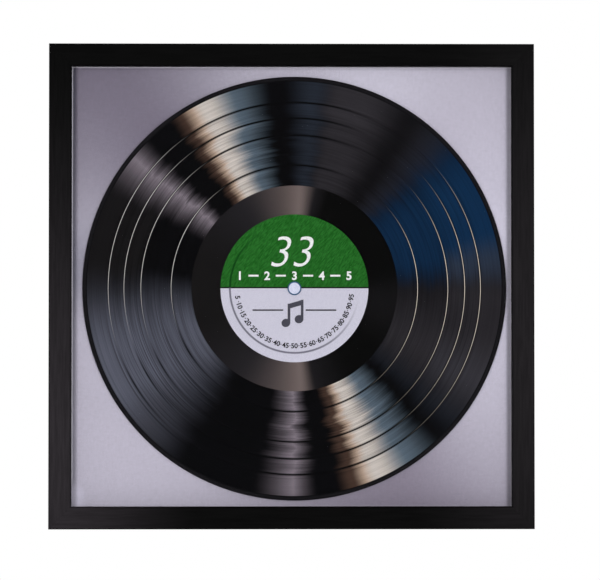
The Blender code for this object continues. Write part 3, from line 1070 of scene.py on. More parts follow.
@dataclass(frozen=True)
class LabelPaper:
    """Two-colour label paper with a laid texture, and painted shade in a ring that the press has left."""

    roughness: float = 0.6
    gloss: float = 0.05
    relief: Point = (0.00002, 0.3)
    split_rise: float = 0.0005
    split_blur: float = 0.00008
    ring_radius: float = 0.0459
    # Painted shade in the pressed ring, at the angles where it falls.
    ring_seen: Glow = Glow(Tone.VOID, 225, 62, 74, hold=60, share=0.85)
    stroke: Triple = (0.0006, 0.0006, 0.0040)
    stroke_turn: float = math.radians(38)
    fibre: float = 0.0011
    deep_green: Colour = (24, 85, 24)
    light_green: Colour = (43, 109, 43)
    shaded_paper: Colour = (197, 195, 211)
    split_ink: Colour = (8, 16, 10)
    ring_shade_paper: Colour = (92, 90, 104)
    ring_shade_green: Colour = (12, 58, 18)
    weave_levels: Point = (0.36, 0.64)
    fibre_shade: Ramp = (0.3, 0.7, 0.9, 1.1)
    paper_levels: Point = (0.35, 0.7)
    split_line: Point = (0.00033, 0.00066)
    ring_line: Point = (0.00034, 0.00102)

    def material(self, centre: Vector) -> Material:
        """Mixes the finish.

        Args:
            centre: the disc's centre.

        Returns:
            The material.
        """
        recipe = Turned("label_paper", centre, self.roughness, self.gloss)
        above = recipe.beyond(recipe.sides[1], self.split_rise)
        laid = recipe.spot(centre, self.stroke, (0, self.stroke_turn, 0))
        weave = recipe.noise(laid, roughness=0.6)
        fibre = recipe.noise(recipe.spot(centre, self.fibre))
        green = recipe.mix(recipe.remap(weave, *self.weave_levels), self.deep_green, self.light_green)
        green = recipe.shade(green, recipe.remap(fibre, *self.fibre_shade))
        pale = recipe.mix(recipe.remap(fibre, *self.paper_levels), Tone.PAPER, self.shaded_paper)
        half = recipe.remap(above, -self.split_blur, self.split_blur)
        colour = recipe.mix(half, pale, green)
        line = recipe.remap(recipe.maths("ABSOLUTE", above), *self.split_line, 1, 0)
        colour = recipe.mix(line, colour, self.split_ink)
        # Painted shade in the pressed ring, round its left and lower side.
        away = recipe.apart(recipe.radius, self.ring_radius)
        ring = recipe.remap(away, *self.ring_line, 1, 0)
        seen = recipe.times(ring, recipe.glow(recipe.angle, self.ring_seen))
        colour = recipe.mix(seen, colour, recipe.mix(half, self.ring_shade_paper, self.ring_shade_green))
        recipe.set("Base Color", colour)
        recipe.bump(weave, *self.relief)
        return recipe.material


@dataclass(frozen=True)
class PrintInk:
    """Ink that lies on the label in a thin film."""

    name: str
    tone: Tone
    roughness: float = 0.5
    gloss: float = 0.25
    patch_size: float = 0.0009
    drunk: float = 0.93
    drunk_levels: Point = (0.4, 0.7)

    def material(self) -> Material:
        """Mixes the finish, a little darker where the paper drinks it.

        Returns:
            The material.
        """
        recipe = Recipe(self.name, self.roughness, gloss=self.gloss)
        patchy = recipe.noise(recipe.spot(size=self.patch_size))
        darker = tuple(int(value * self.drunk) for value in self.tone.value)
        recipe.set("Base Color", recipe.mix(recipe.remap(patchy, *self.drunk_levels), self.tone, darker))
        return recipe.material


@dataclass(frozen=True)
class PegPlastic:
    """Pale moulded plastic with a coloured ring round its edge."""

    roughness: float = 0.36
    gloss: float = 0.15
    cloud_size: float = 0.002
    ring_radius: float = 0.0040
    ring_blur: float = 0.0002
    pale: Colour = (217, 220, 240)
    cloudy: Colour = (205, 209, 231)
    ring: Colour = (56, 92, 128)
    cloud_levels: Point = (0.35, 0.65)

    def material(self, centre: Vector) -> Material:
        """Mixes the finish.

        Args:
            centre: the peg's centre.

        Returns:
            The material.
        """
        recipe = Turned("peg_plastic", centre, self.roughness, self.gloss)
        cloud = recipe.noise(recipe.spot(centre, self.cloud_size), detail=2)
        pale = recipe.mix(recipe.remap(cloud, *self.cloud_levels), self.pale, self.cloudy)
        edge = (self.ring_radius - self.ring_blur, self.ring_radius + self.ring_blur)
        recipe.set("Base Color", recipe.mix(recipe.remap(recipe.radius, *edge), pale, self.ring))
        return recipe.material


@dataclass(frozen=True)
class BrushedCard:
    """Lilac-grey card, printed with the slow light and shade of brushed metal, with painted light and shade
    at its edges.
    """

    sight_low: Vector
    sight_high: Vector
    roughness: float = 0.62
    gloss: float = 0.3
    relief: Point = (0.00001, 0.3)
    ground: Colour = (190, 185, 201)
    bands: tuple[tuple[Colour, float, float, float], ...] = (
        ((218, 214, 232), 7, 48, 42),
        ((204, 200, 216), 72, 26, 24),
        ((122, 115, 131), 131.5, 40, 50),
        ((158, 155, 171), 175, 20, 18),
        ((137, 129, 145), 297, 66, 34),
    )
    fibre_sizes: Point = (0.0013, 0.0042)
    # Painted light and shade along the edges: highlight lines, the lips' shadows, and a glint at the lower
    # left corner.
    left_highlight_edge: float = 0.0004
    left_highlight_tone: Colour = (214, 211, 222)
    shade_reach: float = 0.0045
    shade_levels: Point = (0.36, 0.56)
    shade_tone: Colour = (36, 44, 62)
    sill: Point = (0.012, 0.020)
    right_reach: Point = (0.0012, 0.0040)
    right_level: float = 0.66
    right_tone: Colour = (214, 208, 218)
    glint_spot: Triple = (0.004, 0, 0.006)
    glint_reach: Triple = (0.007, 1.0, 0.012)
    glint_tone: Colour = (222, 218, 238)
    top_tone: Colour = (232, 229, 238)
    foot_tone: Colour = (232, 226, 238)
    fibre_shade: Ramp = (0.3, 0.7, 0.94, 1.06)
    shade_rise: Point = (0.02, 0.2)
    left_highlight_line: Ramp = (0.0002, 0.0005, 1, 0)
    right_line: Ramp = (-0.0004, 0.0, 0.8, 0)
    glint_levels: Ramp = (0.2, 1, 0.4, 0)
    top_line: Ramp = (-0.0002, 0.0008, 1, 0)
    top_fading: Ramp = (0.05, 0.30, 0.6, 0.4)
    foot_line: Ramp = (0.0, 0.0012, 0.12, 0)

    def material(self, centre: Vector) -> Material:
        """Mixes the finish.

        Args:
            centre: the disc's centre, which the shading turns about.

        Returns:
            The material.
        """
        recipe = Turned("brushed_card", centre, self.roughness, self.gloss)
        colour = self.ground
        for tone, middle, before, after in self.bands:
            cover = recipe.glow(recipe.angle, Glow(Tone.VOID, middle, before, after))
            colour = recipe.mix(cover, colour, tone)
        short, long = self.fibre_sizes
        upright = recipe.noise(recipe.spot(centre, (short, short, long)))
        level = recipe.noise(recipe.spot(centre, (long, short, short)))
        fibre = recipe.times(recipe.maths("ADD", upright, level), 0.5)
        colour = recipe.shade(colour, recipe.remap(fibre, *self.fibre_shade))
        recipe.set("Base Color", self.edged(recipe, colour))
        recipe.bump(fibre, *self.relief)
        return recipe.material

    def edged(self, recipe: Recipe, colour: Socket) -> Socket:
        """Paints light and shade at the card's edges: highlight lines on all four, the lips' shadows at left
        and right, a glint low at the left.

        Args:
            recipe: the material.
            colour: the card's colour.

        Returns:
            The colour with its edges.
        """
        from_left, _, from_low = recipe.axes(recipe.spot(self.sight_low))
        from_top = recipe.beyond(self.sight_high.z - self.sight_low.z, from_low)
        from_right = recipe.beyond(self.sight_high.x - self.sight_low.x, from_left)
        above = recipe.remap(from_low, *self.sill)
        depth = recipe.times(recipe.remap(from_low, *self.shade_rise, *self.shade_levels), above)
        # Painted shadow of the left lip, stronger higher up and gone near the bottom.
        near = recipe.remap(from_left, self.left_highlight_edge, self.shade_reach, 1, 0)
        colour = recipe.mix(recipe.times(near, depth), colour, self.shade_tone)
        # Painted shadow of the right lip.
        colour = recipe.shade(colour, recipe.remap(from_right, *self.right_reach, self.right_level, 1))
        # Painted highlight lines along the left and right edges.
        cut = recipe.remap(from_left, *self.left_highlight_line)
        colour = recipe.mix(recipe.times(cut, above), colour, self.left_highlight_tone)
        colour = recipe.mix(recipe.remap(from_right, *self.right_line), colour, self.right_tone)
        # Painted glint at the lower left corner.
        corner = self.sight_low + Vector(self.glint_spot)
        glint = recipe.length(recipe.spot(corner, self.glint_reach))
        colour = recipe.mix(recipe.remap(glint, *self.glint_levels), colour, self.glint_tone)
        # Painted highlight lines along the top, fading to the right, and along the bottom.
        top = recipe.remap(from_top, *self.top_line)
        fading = recipe.remap(from_left, *self.top_fading)
        colour = recipe.mix(recipe.times(top, fading), colour, self.top_tone)
        return recipe.mix(recipe.remap(from_low, *self.foot_line), colour, self.foot_tone)


@dataclass(frozen=True)
class Fibreboard:
    """Pressed fibreboard, with short fibres every way and a few dark flecks."""

    roughness: float = 0.86
    gloss: float = 0.15
    relief: Point = (0.00012, 0.5)
    light: Colour = (166, 132, 94)
    dark: Colour = (122, 92, 62)
    fleck: Colour = (84, 60, 40)
    fibre: Triple = (0.00035, 0.00035, 0.0022)
    lays: Triple = (0.3, 1.35, 2.4)
    cloud_size: float = 0.07
    fleck_size: float = 0.0024
    fibre_levels: Point = (0.46, 0.74)
    cloud_shade: Ramp = (0.3, 0.7, 0.9, 1.08)
    fleck_levels: Point = (0.68, 0.74)

    def material(self) -> Material:
        """Mixes the finish.

        Returns:
            The material.
        """
        recipe = Recipe("fibreboard", self.roughness, gloss=self.gloss)
        fibres = recipe.most(
            recipe.noise(recipe.spot(size=self.fibre, turn=(0, lay, 0)), detail=4, roughness=0.6)
            for lay in self.lays
        )
        cloud = recipe.noise(recipe.spot(size=self.cloud_size))
        colour = recipe.mix(recipe.remap(fibres, *self.fibre_levels), self.dark, self.light)
        colour = recipe.shade(colour, recipe.remap(cloud, *self.cloud_shade))
        flecks = recipe.noise(recipe.spot(size=self.fleck_size), detail=2)
        fleck = recipe.remap(flecks, *self.fleck_levels)
        recipe.set("Base Color", recipe.mix(fleck, colour, self.fleck))
        recipe.bump(fibres, *self.relief)
        return recipe.material


@dataclass(frozen=True)
class Metal:
    """Plated steel with fine handling scratches and clouds where the plating has dulled."""

    name: str
    bright: Colour
    dull: Colour
    roughness: float
    dulling: float = 0.16
    relief: Point = (0.00001, 0.4)
    cloud_size: float = 0.005
    scratch_size: Triple = (0.0002, 0.0002, 0.0024)
    scratch_turn: float = 0.5
    scratch_dulling: float = 0.12
    cloud_levels: Point = (0.35, 0.7)

    def material(self) -> Material:
        """Mixes the finish.

        Returns:
            The material.
        """
        recipe = Recipe(self.name, self.roughness, metallic=1.0)
        cloud = recipe.noise(recipe.spot(size=self.cloud_size), detail=4)
        drawn = recipe.spot(size=self.scratch_size, turn=(0, self.scratch_turn, 0))
        scratch = recipe.noise(drawn, detail=2)
        dulled = recipe.remap(cloud, *self.cloud_levels)
        recipe.set("Base Color", recipe.mix(dulled, self.bright, self.dull))
        rough = recipe.remap(cloud, *self.cloud_levels, self.roughness, self.roughness + self.dulling)
        recipe.set("Roughness", recipe.maths("MULTIPLY_ADD", scratch, self.scratch_dulling, rough))
        recipe.bump(scratch, *self.relief)
        return recipe.material


@dataclass(frozen=True)
class Matt:
    """A dull moulded or pressed surface with a fine even tooth."""

    name: str
    light: Colour
    dark: Colour
    roughness: float
    tooth: float = 0.0006
    tooth_depth: float = 1 / 12
    gloss: float = 0.3
    tooth_levels: Point = (0.35, 0.65)

    def material(self) -> Material:
        """Mixes the finish.

        Returns:
            The material.
        """
        recipe = Recipe(self.name, self.roughness, gloss=self.gloss)
        grit = recipe.noise(recipe.spot(size=self.tooth))
        recipe.set("Base Color", recipe.mix(recipe.remap(grit, *self.tooth_levels), self.dark, self.light))
        recipe.bump(grit, self.tooth * self.tooth_depth, 0.5)
        return recipe.material


# Pieces


@dataclass(frozen=True)
class Side:
    """One side of the frame, and how far it is turned from the bottom one, in quarter turns."""

    name: str
    turn: int
    ends: tuple[str, str]
    corner: str


SIDES = (
    Side("bottom", 0, ("left", "right"), "bottom_right"),
    Side("right", 1, ("lower", "upper"), "top_right"),
    Side("top", 2, ("right", "left"), "top_left"),
    Side("left", 3, ("upper", "lower"), "bottom_left"),
)
SIGNS = (-1, 1)


@dataclass
class Moulding:
    """Four mitred rails of lacquered wood, pinned at the corners by steel chevrons."""

    place: Place = field(default_factory=lambda: Place.of(*["rail_" + side.name for side in SIDES]))
    face: float = field(default_factory=lambda: Place.of("rail_left").size.x)
    lip_overlap: float = 0.004
    lip_thickness: float = 0.004
    front_arris: float = 0.0014
    lip_arris: float = 0.0008
    back_arris: float = 0.0006
    mitre_arris: float = 0.00008
    pin_leg: float = 0.005
    pin_gauge: float = 0.0005
    pin_half_angle: float = math.radians(50)
    pin_depth: float = 0.007
    pin_proud: float = 0.00006
    pin_bend_steps: int = 6
    arris_steps: tuple[int, int, int] = (8, 6, 4)

    def rail(self) -> Shape:
        """The bottom rail, lying on its back about the frame's middle.

        Returns:
            The mitred rail with its long edges rounded.
        """
        half, depth = self.place.size.x / 2, self.place.size.y
        root, lip_back = self.face - self.lip_overlap, depth - self.lip_thickness
        section = [(0, 0), (0, depth), (self.face, depth), (self.face, lip_back)]
        section += [(root, lip_back), (root, 0)]
        shape = blank()
        start = shape.faces.new([shape.verts.new((-half, y - half, z)) for y, z in section])
        draw_out(shape, bmesh.ops.extrude_face_region(shape, geom=[start]), (half * 2, 0, 0))
        bmesh.ops.recalc_face_normals(shape, faces=shape.faces)
        corners = ((0, depth), (self.face, depth), (0, 0))
        radii = (self.front_arris, self.lip_arris, self.back_arris)
        for (y, z), radius, segments in zip(corners, radii, self.arris_steps):
            ease(shape, self.long_edges(shape, y - half, z), radius, segments)
        for sign in SIGNS:
            self.mitre(shape, sign, half)
        return shape

    def long_edges(self, shape: Shape, y: float, z: float) -> list[bmesh.types.BMEdge]:
        """The edges that run along the rail through a point of its section."""
        spot = Vector((y, z))
        return [edge for edge in shape.edges if all((end.co.yz - spot).length < WELD for end in edge.verts)]

    def mitre(self, shape: Shape, sign: int, half: float) -> None:
        """Saws one end at 45 degrees and breaks its edge, which leaves a hairline at the joint.

        Args:
            shape: the rail.
            sign: which end, along the rail.
            half: half the frame's side.
        """
        rim = cut_along(shape, (sign * half, -half, 0), Vector((sign, 1, 0)).normalized(), clear=True)
        bmesh.ops.edgeloop_fill(shape, edges=rim)
        bmesh.ops.recalc_face_normals(shape, faces=shape.faces)
        ease(shape, [edge for edge in rim if edge.is_valid], self.mitre_arris, 1)

    def pin(self) -> Shape:
        """A chevron driven across a mitre, its V open along +X, its top a hair proud of Z = 0.

        Returns:
            The shape, folded from one strip.
        """
        reach = self.pin_leg * math.cos(self.pin_half_angle)
        spread = self.pin_leg * math.sin(self.pin_half_angle)
        bend = self.pin_gauge
        curl = 1 - self.pin_half_angle / QUARTER
        centre = (bend / math.sin(self.pin_half_angle), 0)
        turn = arc(centre, bend, 2 - curl, curl * 2, self.pin_bend_steps)
        line = [(reach, spread), *turn, (reach, -spread)]
        shape = blank()
        verts = [shape.verts.new((x, y, -self.pin_depth)) for x, y in line]
        edges = [shape.edges.new(pair) for pair in zip(verts, verts[1:])]
        drawn = bmesh.ops.extrude_edge_only(shape, edges=edges)
        draw_out(shape, drawn, (0, 0, self.pin_depth + self.pin_proud))
        obj = as_object("pin", shape)
        solid = obj.modifiers.new("gauge", "SOLIDIFY")
        solid.thickness = self.pin_gauge
        solid.offset = 0
        solid.use_even_offset = True
        return flattened(obj)

    def build(self) -> None:
        """Makes the rails and the chevrons."""
        bench = Matrix.Translation(self.place.at_depth(self.place.high.y))
        zinc = Metal("bright_steel", (196, 196, 192), (172, 172, 170), 0.3).material()
        mid_back = (self.face - self.lip_overlap) / 2
        apex = mid_back - self.pin_leg * math.cos(self.pin_half_angle) / 2 * math.sqrt(0.5)
        inset = self.place.size.x / 2 - apex
        for side in SIDES:
            wood = Lacquer("lacquer_" + side.name, side.turn % 2 == 1).material(self.place, self.face)
            turned = Matrix.Rotation(QUARTER * side.turn, 4, "Z")
            rail = put(self.rail(), bench @ FACING @ turned)
            piece("moulding_" + side.name, rail, wood, ["rail_" + side.name])
            across = 1 if "right" in side.corner else -1
            up = 1 if "top" in side.corner else -1
            opening = Matrix.Rotation(math.atan2(up, -across), 4, "Z")
            spot = Matrix.Translation((across * inset, -up * inset, 0))
            pin = put(self.pin(), bench @ REVERSED @ spot @ opening)
            piece("corner_pin_" + side.corner, pin, zinc, ["mitre_pin_" + side.corner])


@dataclass
class Inserts:
    """What lies in the rebate: glazing, spacing strips, mount card and backing board."""

    glass_edge: float = 0.0003
    board_edge: float = 0.00025
    peg_hole: float = 0.00362
    hole_steps: int = 48

    def board(self, disc_centre: Vector) -> Shape:
        """The backing board with the hole that the peg is pressed into.

        Args:
            disc_centre: the disc's centre, which the hole is in line with.

        Returns:
            The board in its place.
        """
        place = Place.of("backing_board")
        middle, half = place.middle, place.size.x / 2
        away = disc_centre - middle
        corners = [(-half, -half), (half, -half), (half, half), (-half, half)]
        hole = arc((away.x, away.z), self.peg_hole, 0, 4, self.hole_steps)[1:]
        shape = flat_shape([corners, hole], place.size.y)
        ease(shape, crisp_edges(shape, STAMPED), self.board_edge, 2)
        return put(shape, Matrix.Translation(middle) @ FACING)

    def build(self, disc_centre: Vector, sight: Place) -> None:
        """Makes the glazing and the board, and dresses the card and the strips.

        Args:
            disc_centre: the centre that the card's shading turns about.
            sight: the opening that the lips leave.
        """
        pane = Place.of("glazing")
        glass = bar(pane.size, pane.middle, self.glass_edge)
        piece("glazing_pane", glass, PictureGlass().material(), ["glazing"])
        board = self.board(disc_centre)
        piece("backing_panel", board, Fibreboard().material(), ["backing_board"])
        card = BrushedCard(sight.low, sight.high).material(disc_centre)
        dress("mount_card", card)
        strip = Matt("strip_black", (30, 30, 32), (20, 20, 22), 0.66, 0.0009).material()
        for side in SIDES:
            dress("spacer_" + side.name, strip)


@dataclass
class Disc:
    """The pressed record, turned with its rim bead, track gaps, grooves and label seat."""

    place: Place = field(default_factory=lambda: Place.of("vinyl_record"))
    play_thickness: float = 0.0014
    rim_width: float = 0.0029
    rim_ramp: float = 0.0010
    spindle: float = 0.00362
    wax_edge: float = 0.0732
    wax_drop: float = 0.00008
    gap_width: float = 0.0007
    gap_depth: float = 0.00012
    gap_shares: tuple[float, ...] = (0.194, 0.482, 0.643, 0.793)
    groove_pitch: float = 0.0009
    groove_depth: float = 0.000012
    label_gap: float = 0.0001
    label_recess: float = 0.0002
    steps: int = 240
    rim_steps: int = 8

    @property
    def radius(self) -> float:
        """The disc's radius."""
        return self.place.size.x / 2

    @property
    def rim_foot(self) -> float:
        """Where the playing surface meets the rim's bead."""
        return self.radius - self.rim_width

    @property
    def gaps(self) -> tuple[float, ...]:
        """The radii of the track gaps."""
        span = self.rim_foot - self.wax_edge
        return tuple(self.wax_edge + span * share for share in self.gap_shares)

    def playing_surface(self) -> list[Point]:
        """The playing surface with its grooves and track gaps, from the dead wax outward.

        Returns:
            Radius and height of its points.
        """
        play, half_gap = self.play_thickness / 2, self.gap_width / 2
        points: list[Point] = [(self.wax_edge + self.wax_drop, play)]
        stops = [*self.gaps, self.rim_foot]
        start = self.wax_edge + self.wax_drop * 2
        for index, stop in enumerate(stops):
            last = index == len(stops) - 1
            end = stop if last else stop - half_gap
            count = round((end - start) / self.groove_pitch)
            for groove in range(1, count):
                dip = self.groove_depth if groove % 2 else 0
                points.append((start + (end - start) * groove / count, play - dip))
            points.append((end, play))
            if not last:
                floor, start = play - self.gap_depth, stop + half_gap
                points += [(stop + sign * self.gap_width / 5, floor) for sign in SIGNS] + [(start, play)]
        return points

    def profile(self, label_radius: float) -> list[Point]:
        """Radius and height of the front, from the spindle hole to the outer edge.

        Args:
            label_radius: the radius of the label that lies in the recess.

        Returns:
            The points in order.
        """
        play, rim = self.play_thickness / 2, self.place.size.y / 2
        wax = play - self.wax_drop
        seat, seat_edge = wax - self.label_recess, label_radius + self.label_gap
        points = [(self.spindle, seat), (seat_edge, seat), (seat_edge, wax), (self.wax_edge, wax)]
        points += self.playing_surface()
        points.append((self.rim_foot + self.rim_ramp, rim))
        points += arc((self.radius - rim, 0), rim, 1, -1, self.rim_steps)
        return points

    def build(self, label_radius: float) -> None:
        """Makes the disc about its own middle, its back without the grooves.

        Args:
            label_radius: the radius of the label that lies in the recess.
        """
        front = self.profile(label_radius)
        play = self.play_thickness / 2
        plain = [point for point in front if point[1] >= play or point[0] <= self.wax_edge]
        back = [(radius, -height) for radius, height in reversed(plain[:-1])]
        shape = lathe(front + back, self.steps)
        put(shape, Matrix.Translation(self.place.middle) @ FACING)
        vinyl = Groove(self.wax_edge, self.rim_foot, self.gaps, self.gap_width).material(self.place.middle)
        piece("pressed_disc", shape, vinyl, ["vinyl_record"])


@dataclass
class Label:
    """The front label: paper with a pressed ring, and plain numbers and marks printed on it."""

    place: Place = field(default_factory=lambda: Place.of("label_front"))
    hole: float = 0.00362
    ring_width: float = 0.0009
    ring_depth: float = 0.00007
    steps: int = 192
    speed_height: float = 0.0215
    speed_centre: Point = (-0.0015, 0.0262)
    track_height: float = 0.0062
    track_rise: float = 0.0090
    track_pitch: float = 0.0194
    dash: Point = (0.0072, 0.0013)
    dial_radius: float = 0.0409
    dial_height: float = 0.0037
    dial_count: int = 19
    dial_step: int = 5
    dial_span: float = 162.0
    note_centre: Point = (0.0008, -0.0168)
    note_height: float = 0.0180
    rule: Point = (0.0218, 0.0010)
    rule_rise: float = -0.0155
    rule_spread: float = 0.0189
    dial_dot: float = 0.0004
    track_count: int = 5
    bold: float = 0.03
    print_rise: float = 0.6
    speed_weight: float = -0.012
    speed_slant: float = 0.25
    note_wide: float = 0.52
    note_stem: float = 0.105
    note_beam: float = 0.2
    note_lean: float = 0.15
    note_head: float = 0.175
    note_flat: float = 0.94
    note_tilt: float = math.radians(20)

    @property
    def radius(self) -> float:
        """The label's radius."""
        return self.place.size.x / 2

    def sheet(self, paper: LabelPaper) -> Shape:
        """The paper ring with the groove that the press leaves.

        Args:
            paper: its finish, which says where the groove lies.

        Returns:
            The shape about the origin.
        """
        top, low = self.place.size.y / 2, -self.place.size.y / 2
        ring, wide = paper.ring_radius, self.ring_width
        profile = [(self.hole, low), (self.hole, top), (ring - wide / 2, top)]
        profile += [(ring - wide / 6, top - self.ring_depth), (ring + wide / 6, top - self.ring_depth)]
        profile += [(ring + wide / 2, top), (self.radius, top), (self.radius, low)]
        return lathe(profile, self.steps)

    def note(self) -> Shape:
        """A pair of beamed notes, the common sign for music.

        Returns:
            The shape about the origin.
        """
        tall = self.note_height
        shares = (self.note_wide, self.note_stem, self.note_beam, self.note_lean, self.note_head)
        wide, stem, beam, lean, head = (tall * share for share in shares)
        parts = []
        for sign in SIGNS:
            foot = -tall / 2 + head * 0.8 + sign * lean / 2
            top = tall / 2 - beam / 2 + sign * lean / 2
            parts.append(bar((stem, top - foot, PRINT_THICKNESS), (sign * wide / 2, (top + foot) / 2, 0)))
            dot = disc_shape(head, PRINT_THICKNESS, 32)
            bmesh.ops.scale(dot, vec=(1, self.note_flat, 1), verts=dot.verts)
            turn = Matrix.Rotation(self.note_tilt, 4, "Z")
            parts.append(put(dot, Matrix.Translation((sign * wide / 2 - head + stem / 2, foot, 0)) @ turn))
        joint = bar((wide + stem, beam, PRINT_THICKNESS), (0, tall / 2 - beam, 0))
        put(joint, Matrix(((1, 0, 0, 0), (lean / wide, 1, 0, 0), (0, 0, 1, 0), (0, 0, 0, 1))))
        return combined(joint, parts, "UNION")

    def tracks(self) -> Shape:
        """The numbers of the five tracks in a row, with a dash between each two.

        Returns:
            The shape about the label's centre.
        """
        marks = []
        for index in range(self.track_count):
            along = (index - self.track_count // 2) * self.track_pitch
            digit = numerals(str(index + 1), self.track_height, weight=self.bold)
            marks.append(put(digit, Matrix.Translation((along, self.track_rise, 0))))
            if index < self.track_count - 1:
                middle = (along + self.track_pitch / 2, self.track_rise, 0)
                marks.append(bar((*self.dash, PRINT_THICKNESS), middle))
        return gathered(marks)

    def dial(self) -> Shape:
        """Small plain numbers along the label's lower edge, with a point between each two.

        Returns:
            The shape about the label's centre.
        """
        marks = []
        step = math.radians(self.dial_span / (self.dial_count - 1))
        down = Matrix.Translation((0, -self.dial_radius, 0))
        for index in range(self.dial_count):
            turn = step * index - math.radians(self.dial_span / 2)
            digit = numerals(str((index + 1) * self.dial_step), self.dial_height, weight=self.bold)
            marks.append(put(digit, Matrix.Rotation(turn, 4, "Z") @ down))
            if index < self.dial_count - 1:
                dot = disc_shape(self.dial_dot, PRINT_THICKNESS, 12)
                marks.append(put(dot, Matrix.Rotation(turn + step / 2, 4, "Z") @ down))
        return gathered(marks)

    def rules(self) -> Shape:
        """A thin rule on each side of the notes."""
        size = (*self.rule, PRINT_THICKNESS)
        return gathered(bar(size, (sign * self.rule_spread, self.rule_rise, 0)) for sign in SIGNS)

    def build(self, centre: Vector) -> None:
        """Makes the label and its print.

        Args:
            centre: the disc's centre.
        """
        paper = LabelPaper()
        sheet = put(self.sheet(paper), Matrix.Translation(self.place.middle) @ FACING)
        piece("label_sheet", sheet, paper.material(centre), ["label_front"])
        face = Vector((centre.x, self.place.low.y - PRINT_THICKNESS * self.print_rise, centre.z))
        stand = Matrix.Translation(face) @ FACING
        white = PrintInk("white_ink", Tone.CHALK).material()
        grey = PrintInk("grey_ink", Tone.GRAPHITE).material()
        dark = PrintInk("dark_ink", Tone.LEAD).material()
        speed = numerals("33", self.speed_height, self.speed_weight, self.speed_slant)
        put(speed, Matrix.Translation((*self.speed_centre, 0)))
        note = put(self.note(), Matrix.Translation((*self.note_centre, 0)))
        prints = (
            ("print_speed", speed, white),
            ("print_tracks", self.tracks(), white),
            ("print_note", note, grey),
            ("print_rules", self.rules(), dark),
            ("print_dial", self.dial(), dark),
        )
        for name, shape, ink in prints:
            piece(name, put(shape, stand), ink)
        dress("label_back", PrintInk("back_label", Tone.PAPER).material())


@dataclass
class Peg:
    """The plastic peg that carries the disc, with a ring turned into its head."""

    place: Place = field(default_factory=lambda: Place.of("centre_peg"))
    head_thickness: float = 0.0012
    edge_radius: float = 0.00045
    ring: float = 0.00425
    ring_width: float = 0.0003
    ring_depth: float = 0.00012
    shank: float = 0.00332
    tip: float = 0.0006
    edge_steps: int = 6
    steps: int = 64

    def build(self) -> None:
        """Makes the peg, its head towards the glass."""
        head, length = self.place.size.x / 2, self.place.size.y
        seat, edge = length - self.head_thickness, self.edge_radius
        profile: list[Point] = [(0, length), (self.ring - self.ring_width, length)]
        profile += [(self.ring, length - self.ring_depth)]
        profile += [(self.ring + self.ring_width / 2, length - self.ring_depth / 3)]
        profile += arc((head - edge, length - edge), edge, 1, -1, self.edge_steps)[1:]
        profile += [(head, seat), (self.shank, seat), (self.shank, self.tip)]
        profile += [(self.shank - self.tip, 0), (0, 0)]
        stand = Matrix.Translation(self.place.at_depth(self.place.high.y)) @ FACING
        plastic = PegPlastic().material(self.place.middle)
        piece("peg", put(lathe(profile, self.steps), stand), plastic, ["centre_peg"])


